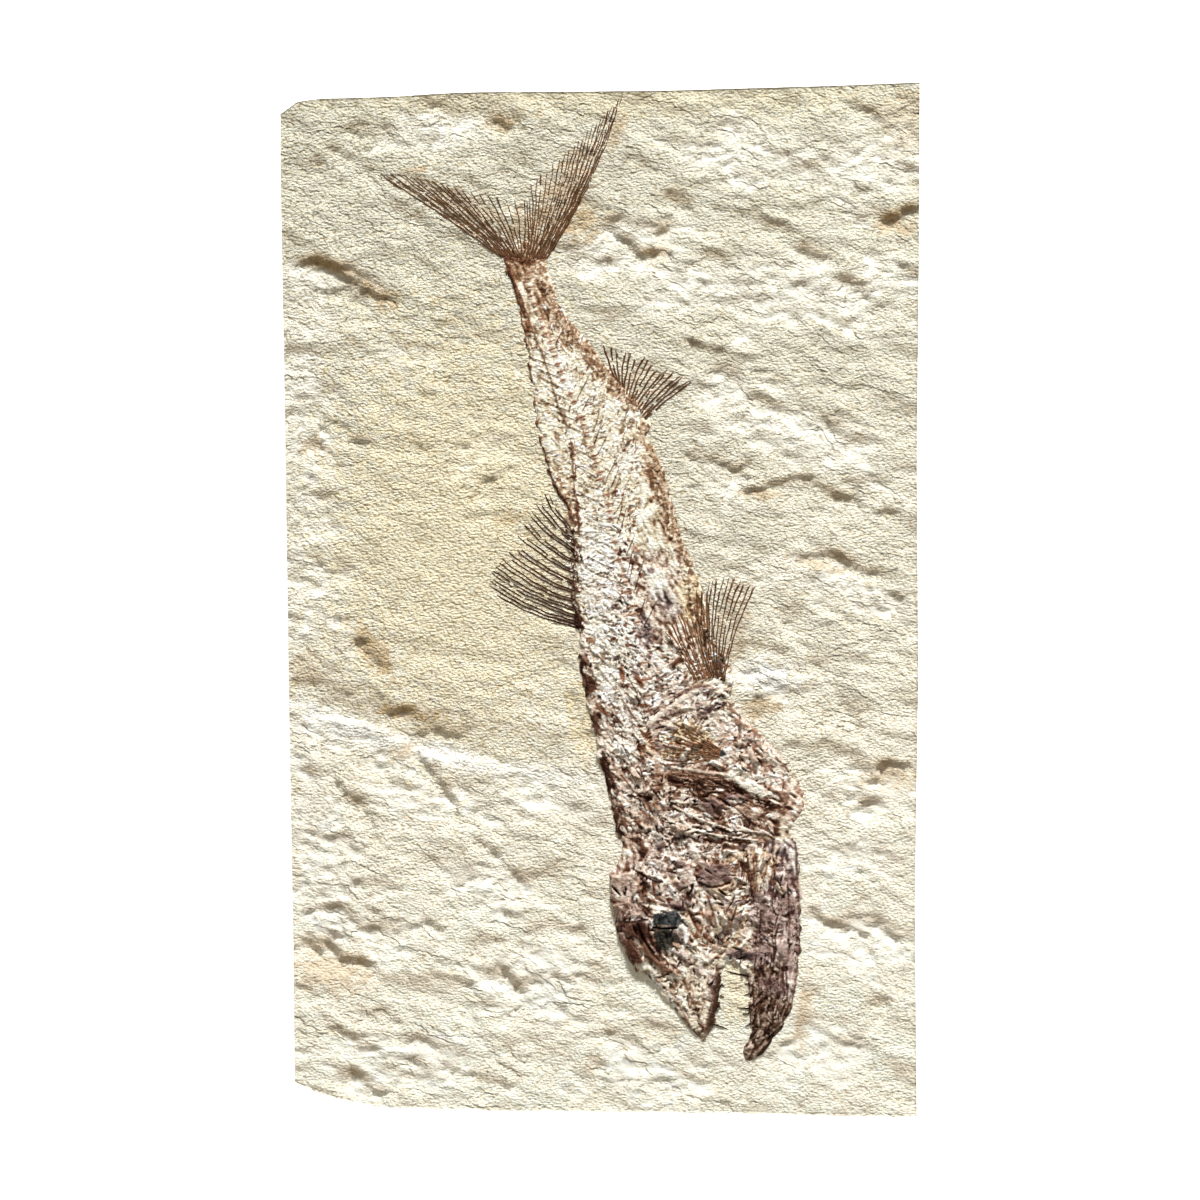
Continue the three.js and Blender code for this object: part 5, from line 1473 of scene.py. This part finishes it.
def build_plate():
    """The limestone plate: fine relief above, broken layered sides, flat back."""
    grid = face_grid()
    x, y = grid[..., 0], grid[..., 1]
    grain, z = stone_grain(x, y), stone_height(x, y)
    tint = stone_color(x, y, z - grain, grain).reshape(-1, 3)
    face = np.stack([x.ravel(), y.ravel(), z.ravel()], axis=1)
    number = np.arange(x.size).reshape(x.shape)
    rim = np.concatenate([number[0, :-1], number[:-1, -1], number[-1, :0:-1], number[:0:-1, 0]])
    rings, side_tints = side_rings(face[rim])
    faces = squares_between(number).reshape(-1, 4).tolist()
    upper = rim
    for step in range(SIDE_STEPS):
        lower = len(face) + step * len(rim) + np.arange(len(rim))
        faces += np.stack([lower, upper, np.roll(upper, -1), np.roll(lower, -1)], axis=1).tolist()
        upper = lower
    faces.append(upper[::-1].tolist())
    worn = 0.35 * ramp(-y, -10, 90) + 0.2 * ramp(x + y / 2, 10, 60)
    strength = 1.05 - 0.5 * fresh_stone(x, y) - worn
    split = 0.4 + 0.6 * ramp(noise(x / 14, y / 9, 65), -0.3, 0.4)
    beds = split * (1 - 0.9 * calm_stone(x, y)) * (1 - fish_cover(x, y))
    on_sides = np.ones(SIDE_STEPS * len(rim))
    plate = add_mesh(
        "limestone_plate", np.vstack([face, *rings]), faces, np.vstack([tint, *side_tints]), STONE,
        ["matrix_slab"], np.concatenate([strength.ravel(), on_sides]))
    layer = plate.data.attributes.new("beds", "FLOAT", "POINT")
    layer.data.foreach_set("value", np.concatenate([beds.ravel(), 0 * on_sides]).astype(np.float32))


# ------------------------------------------------------------ bones cut from the canvas

PIECES = [
    ("skin_film", ["body_skin"], SKIN, "skin_film"),
    ("vertebrae", ["spine_column"], BONE, "vertebra_bone"),
    ("tail_bone_fan", ["hypural_plate"], BONE, "vertebra_bone"),
    ("shoulder_bone", ["shoulder_girdle"], BONE, "dark_bone"),
    ("coracoid", ["coracoid_plate"], BONE, "vertebra_bone"),
    ("skull", ["skull_roof"], BONE, "skull_bone"),
    ("gill_plate", ["gill_cover"], BONE, "skull_bone"),
    ("cheek", ["cheek_bones"], BONE, "skull_bone"),
    ("eye_piece_upper", ["eye_upper"], EYE, "eye_film"),
    ("eye_piece_lower", ["eye_lower"], EYE, "eye_film"),
    ("upper_jaw_bone", ["upper_jaw"], BONE, "jaw_bone"),
    ("lower_jaw_bone", ["lower_jaw"], BONE, "jaw_bone"),
    *[(f"scute_{k}", [f"back_scute_{k}"], BONE, "dark_bone") for k in range(1, 8)],
]


def cell_owners():
    """Number of the node that each square between four cells belongs to."""
    corners = [canvas.owner[:-1, :-1], canvas.owner[:-1, 1:], canvas.owner[1:, :-1], canvas.owner[1:, 1:]]
    owner = corners[0].copy()
    for other in corners[1:]:
        owner = np.where(owner < 0, other, owner)
    return owner


def cut_piece(name, nodes, material, squares, extra=None):
    """Cuts the squares of one bone out of the canvas as a mesh; extra is strands of the same bone."""
    cells = np.isin(squares, [RELIEF_NODES.index(n) for n in nodes])
    used = np.zeros(canvas.shape, bool)
    before, after = slice(None, -1), slice(1, None)
    for corner in ((before, before), (after, before), (before, after), (after, after)):
        used[corner] |= cells
    number = np.full(canvas.shape, -1)
    number[used] = np.arange(used.sum())
    faces = [squares_between(number)[cells]]
    vertices = [np.stack([canvas.x[used], canvas.y[used], BEDDING + canvas.height[used]], axis=1)]
    colors = [canvas_color[used]]
    if extra:
        faces += [face + used.sum() for face in extra.faces]
        vertices += extra.vertices
        colors += extra.colors
    return add_mesh(name, np.vstack(vertices), np.vstack(faces), np.vstack(colors), material, nodes)


# ------------------------------------------------------------ fin rays


def ground(points):
    """Height of whatever lies under each point: the pressed fish or the stone."""
    x, y = points.T
    at = canvas.cells_at(x + CELL / 2, y + CELL / 2)
    on_fish = np.where(canvas.owner[at] >= 0, BEDDING + canvas.height[at], -np.inf)
    return np.maximum(on_fish, stone_height(x, y))


BURIED = 0.3  # how far a ridge's feet, and its broken stretches, lie under the ground
CREST_WIDTH = 0.6  # share of a ridge's width at its crest


class Strands:
    """Many thin ridges gathered into one mesh."""

    def __init__(self):
        self.vertices, self.faces, self.colors = [], [], []
        self.total = 0

    def add(self, path, width, height, color, gaps=0.0, joints=0.25):
        """One ridge along a path. Gaps is the share of it that is broken away; joints roughen its width."""
        path = np.asarray(path, float)
        count = len(path)
        run = np.gradient(path, axis=0)
        run /= np.linalg.norm(run, axis=1, keepdims=True)
        side = np.stack([-run[:, 1], run[:, 0]], axis=1)
        rough = 1 + joints * RNG.uniform(-1, 1, count)
        half = (np.asarray(width) / 2 * rough)[:, None]
        floor = ground(path)
        lift = np.where(RNG.uniform(0, 1, count) < gaps, -BURIED, np.asarray(height) * (0.7 + 0.3 * rough))
        lift[0] *= 0.5
        lift[-1] = 0.02
        ring = [
            np.column_stack([path + side * half, floor - BURIED]),
            np.column_stack([path + side * half * CREST_WIDTH, floor + lift * 0.85]),
            np.column_stack([path - side * half * CREST_WIDTH, floor + lift]),
            np.column_stack([path - side * half, floor - BURIED]),
        ]
        self.vertices.append(np.stack(ring, axis=1).reshape(-1, 3))
        shade = np.asarray(color)[None] * RNG.uniform(0.88, 1.14, (count, 1))
        self.colors.append(np.repeat(shade, 4, axis=0))
        at = self.total + 4 * np.arange(count)[:, None] + np.arange(4)
        self.total += 4 * count
        for k in range(3):
            self.faces.append(np.stack([at[1:, k], at[1:, k + 1], at[:-1, k + 1], at[:-1, k]], axis=1))

    def build(self, name, material, nodes):
        """The ridges as one mesh."""
        vertices, faces, colors = (np.vstack(part) for part in (self.vertices, self.faces, self.colors))
        return add_mesh(name, vertices, faces, np.clip(colors, 0.01, 0.9), material, nodes)


def bowed(root, tip, bow, count):
    """Path from root to tip that sags to its left by a share of its length."""
    root, tip = np.asarray(root, float), np.asarray(tip, float)
    run = tip - root
    control = (root + tip) / 2 + 2 * bow * np.array([-run[1], run[0]])
    t = np.linspace(0, 1, count)[:, None]
    return (1 - t) ** 2 * root + 2 * t * (1 - t) * control + t**2 * tip


def build_fin(name, node, root, tips, rays, crowd, bow, edges, gap, width, color, gaps, fork):
    """Fan of rays; each ray is one or two thin edges that part and fork towards the tip."""
    steps = (np.linspace(0, 1, rays) ** crowd * 200).astype(int)
    roots, ends = smooth_line(root, 201)[steps], smooth_line(tips, 201)[steps]
    made = Strands()
    for start, end in zip(roots, ends):
        run = end - start
        side = np.array([-run[1], run[0]]) / np.hypot(*run)
        count = max(int(np.hypot(*run) / RAY_STEP), 6)
        middle = bowed(start, end, bow + RNG.normal(0, 0.006), count)
        wander = WAVE * noise(np.arange(count) * RAY_STEP / 3, RNG.uniform(0, 99), 29)
        middle += side * wander[:, None]
        t = np.linspace(0, 1, count)
        spread = gap[0] + (gap[1] - gap[0]) * t
        thin = width[0] + (width[1] - width[0]) * t
        tall = RAY_HEIGHT * (1 - 0.4 * t)
        tint = color * RNG.uniform(0.85, 1.3)
        for way in (-0.5, 0.5) if edges == 2 else (0.0,):
            cut = count - RNG.integers(0, max(count // 6, 1) + 1)
            edge = middle + side * (way * spread)[:, None]
            made.add(edge[:cut], thin[:cut], tall[:cut], tint, gaps)
            first = int(count * (fork + RNG.uniform(-0.08, 0.08)))
            if count - first > 3:
                apart = (way or RNG.choice([-0.5, 0.5])) * (t - t[first]) * gap[1] * 2.2
                twig = (edge + side * apart[:, None])[first:]
                made.add(twig, thin[first:] * 0.85, tall[first:], tint, gaps)
    return made.build(name, RAY_BONE, [node])


TEETH = [
    # root, tip, width at the root
    ((30.6, -83.2), (27.9, -83), 0.5),
    ((30.4, -84.2), (29, -84.4), 0.4),
    ((30.4, -80.2), (29.2, -80.6), 0.4),
    ((30.5, -78.2), (29.4, -78.2), 0.4),
    ((30.2, -76.6), (25.4, -75.4), 0.6),
    ((30.6, -86.4), (29.6, -86.8), 0.4),
    ((22.6, -86.4), (26.2, -87.6), 0.5),
    ((24.6, -78.4), (25.4, -78.8), 0.4),
    ((24.5, -80.6), (25.3, -81), 0.4),
    ((24, -82.8), (24.8, -83.2), 0.4),
]
TOOTH_POINTS = 7
TOOTH_HEIGHT = 0.35


def build_teeth():
    """Thin dark teeth that stand in the gape."""
    made = Strands()
    t = np.linspace(0, 1, TOOTH_POINTS)
    for root, tip, width in TEETH:
        path = bowed(root, tip, 0.04, TOOTH_POINTS)
        made.add(path, width * (1 - 0.75 * t), TOOTH_HEIGHT * (1 - 0.6 * t), RAY_DARK, 0, 0.1)
    return made


# ------------------------------------------------------------ stage and light

FLOOR_HALF = 6.0  # metres
FLOOR_GLOW = 0.9
SKY, SKY_STRENGTH = (1.0, 0.91, 0.76, 1), 0.24


def add_floor():
    """Plain white floor that also glows, as on a light table."""
    mesh = bpy.data.meshes.new("floor")
    corners = [(x * FLOOR_HALF, y * FLOOR_HALF, 0) for x, y in ((-1, -1), (1, -1), (1, 1), (-1, 1))]
    mesh.from_pydata(corners, [], [(0, 1, 2, 3)])
    material = bpy.data.materials.new("floor")
    material.use_nodes = True
    shader = material.node_tree.nodes["Principled BSDF"]
    shader.inputs["Base Color"].default_value = (0.95, 0.95, 0.95, 1)
    shader.inputs["Roughness"].default_value = 0.9
    shader.inputs["Emission Color"].default_value = (1, 1, 1, 1)
    shader.inputs["Emission Strength"].default_value = FLOOR_GLOW
    mesh.materials.append(material)
    floor = bpy.data.objects.new("floor", mesh)
    bpy.context.scene.collection.objects.link(floor)


def add_light(name, direction, distance, size, watts, color=(1, 1, 1)):
    """Soft square light that faces the part's middle; distance and size are metres."""
    data = bpy.data.lights.new(name, "AREA")
    data.size = size
    data.energy = watts
    data.color = color
    light = bpy.data.objects.new(name, data)
    toward = Vector(direction).normalized()
    light.location = toward * distance
    light.rotation_euler = (-toward).to_track_quat("-Z", "Y").to_euler()
    bpy.context.scene.collection.objects.link(light)


def add_studio():
    """Low key light from the tail end, as for a fossil's relief, with a soft pale surround."""
    world = bpy.data.worlds.new("studio")
    world.use_nodes = True
    background = world.node_tree.nodes["Background"]
    background.inputs["Color"].default_value = SKY
    background.inputs["Strength"].default_value = SKY_STRENGTH
    bpy.context.scene.world = world
    bpy.context.scene.view_settings.view_transform = "Standard"
    add_light("key", (0.22, 1.0, 0.58), 1.6, 0.3, 41, (1.0, 1.0, 0.99))
    add_light("fill", (-0.5, -0.6, 1.4), 1.8, 1.2, 3)


# ------------------------------------------------------------ assembly

build_plate()
squares = cell_owners()
for name, nodes, material, slot in PIECES:
    cut_piece(name, nodes, material, squares, build_teeth() if name == "lower_jaw_bone" else None)
for name, fin in FINS.items():
    build_fin(name, **fin)
add_floor()
add_studio()

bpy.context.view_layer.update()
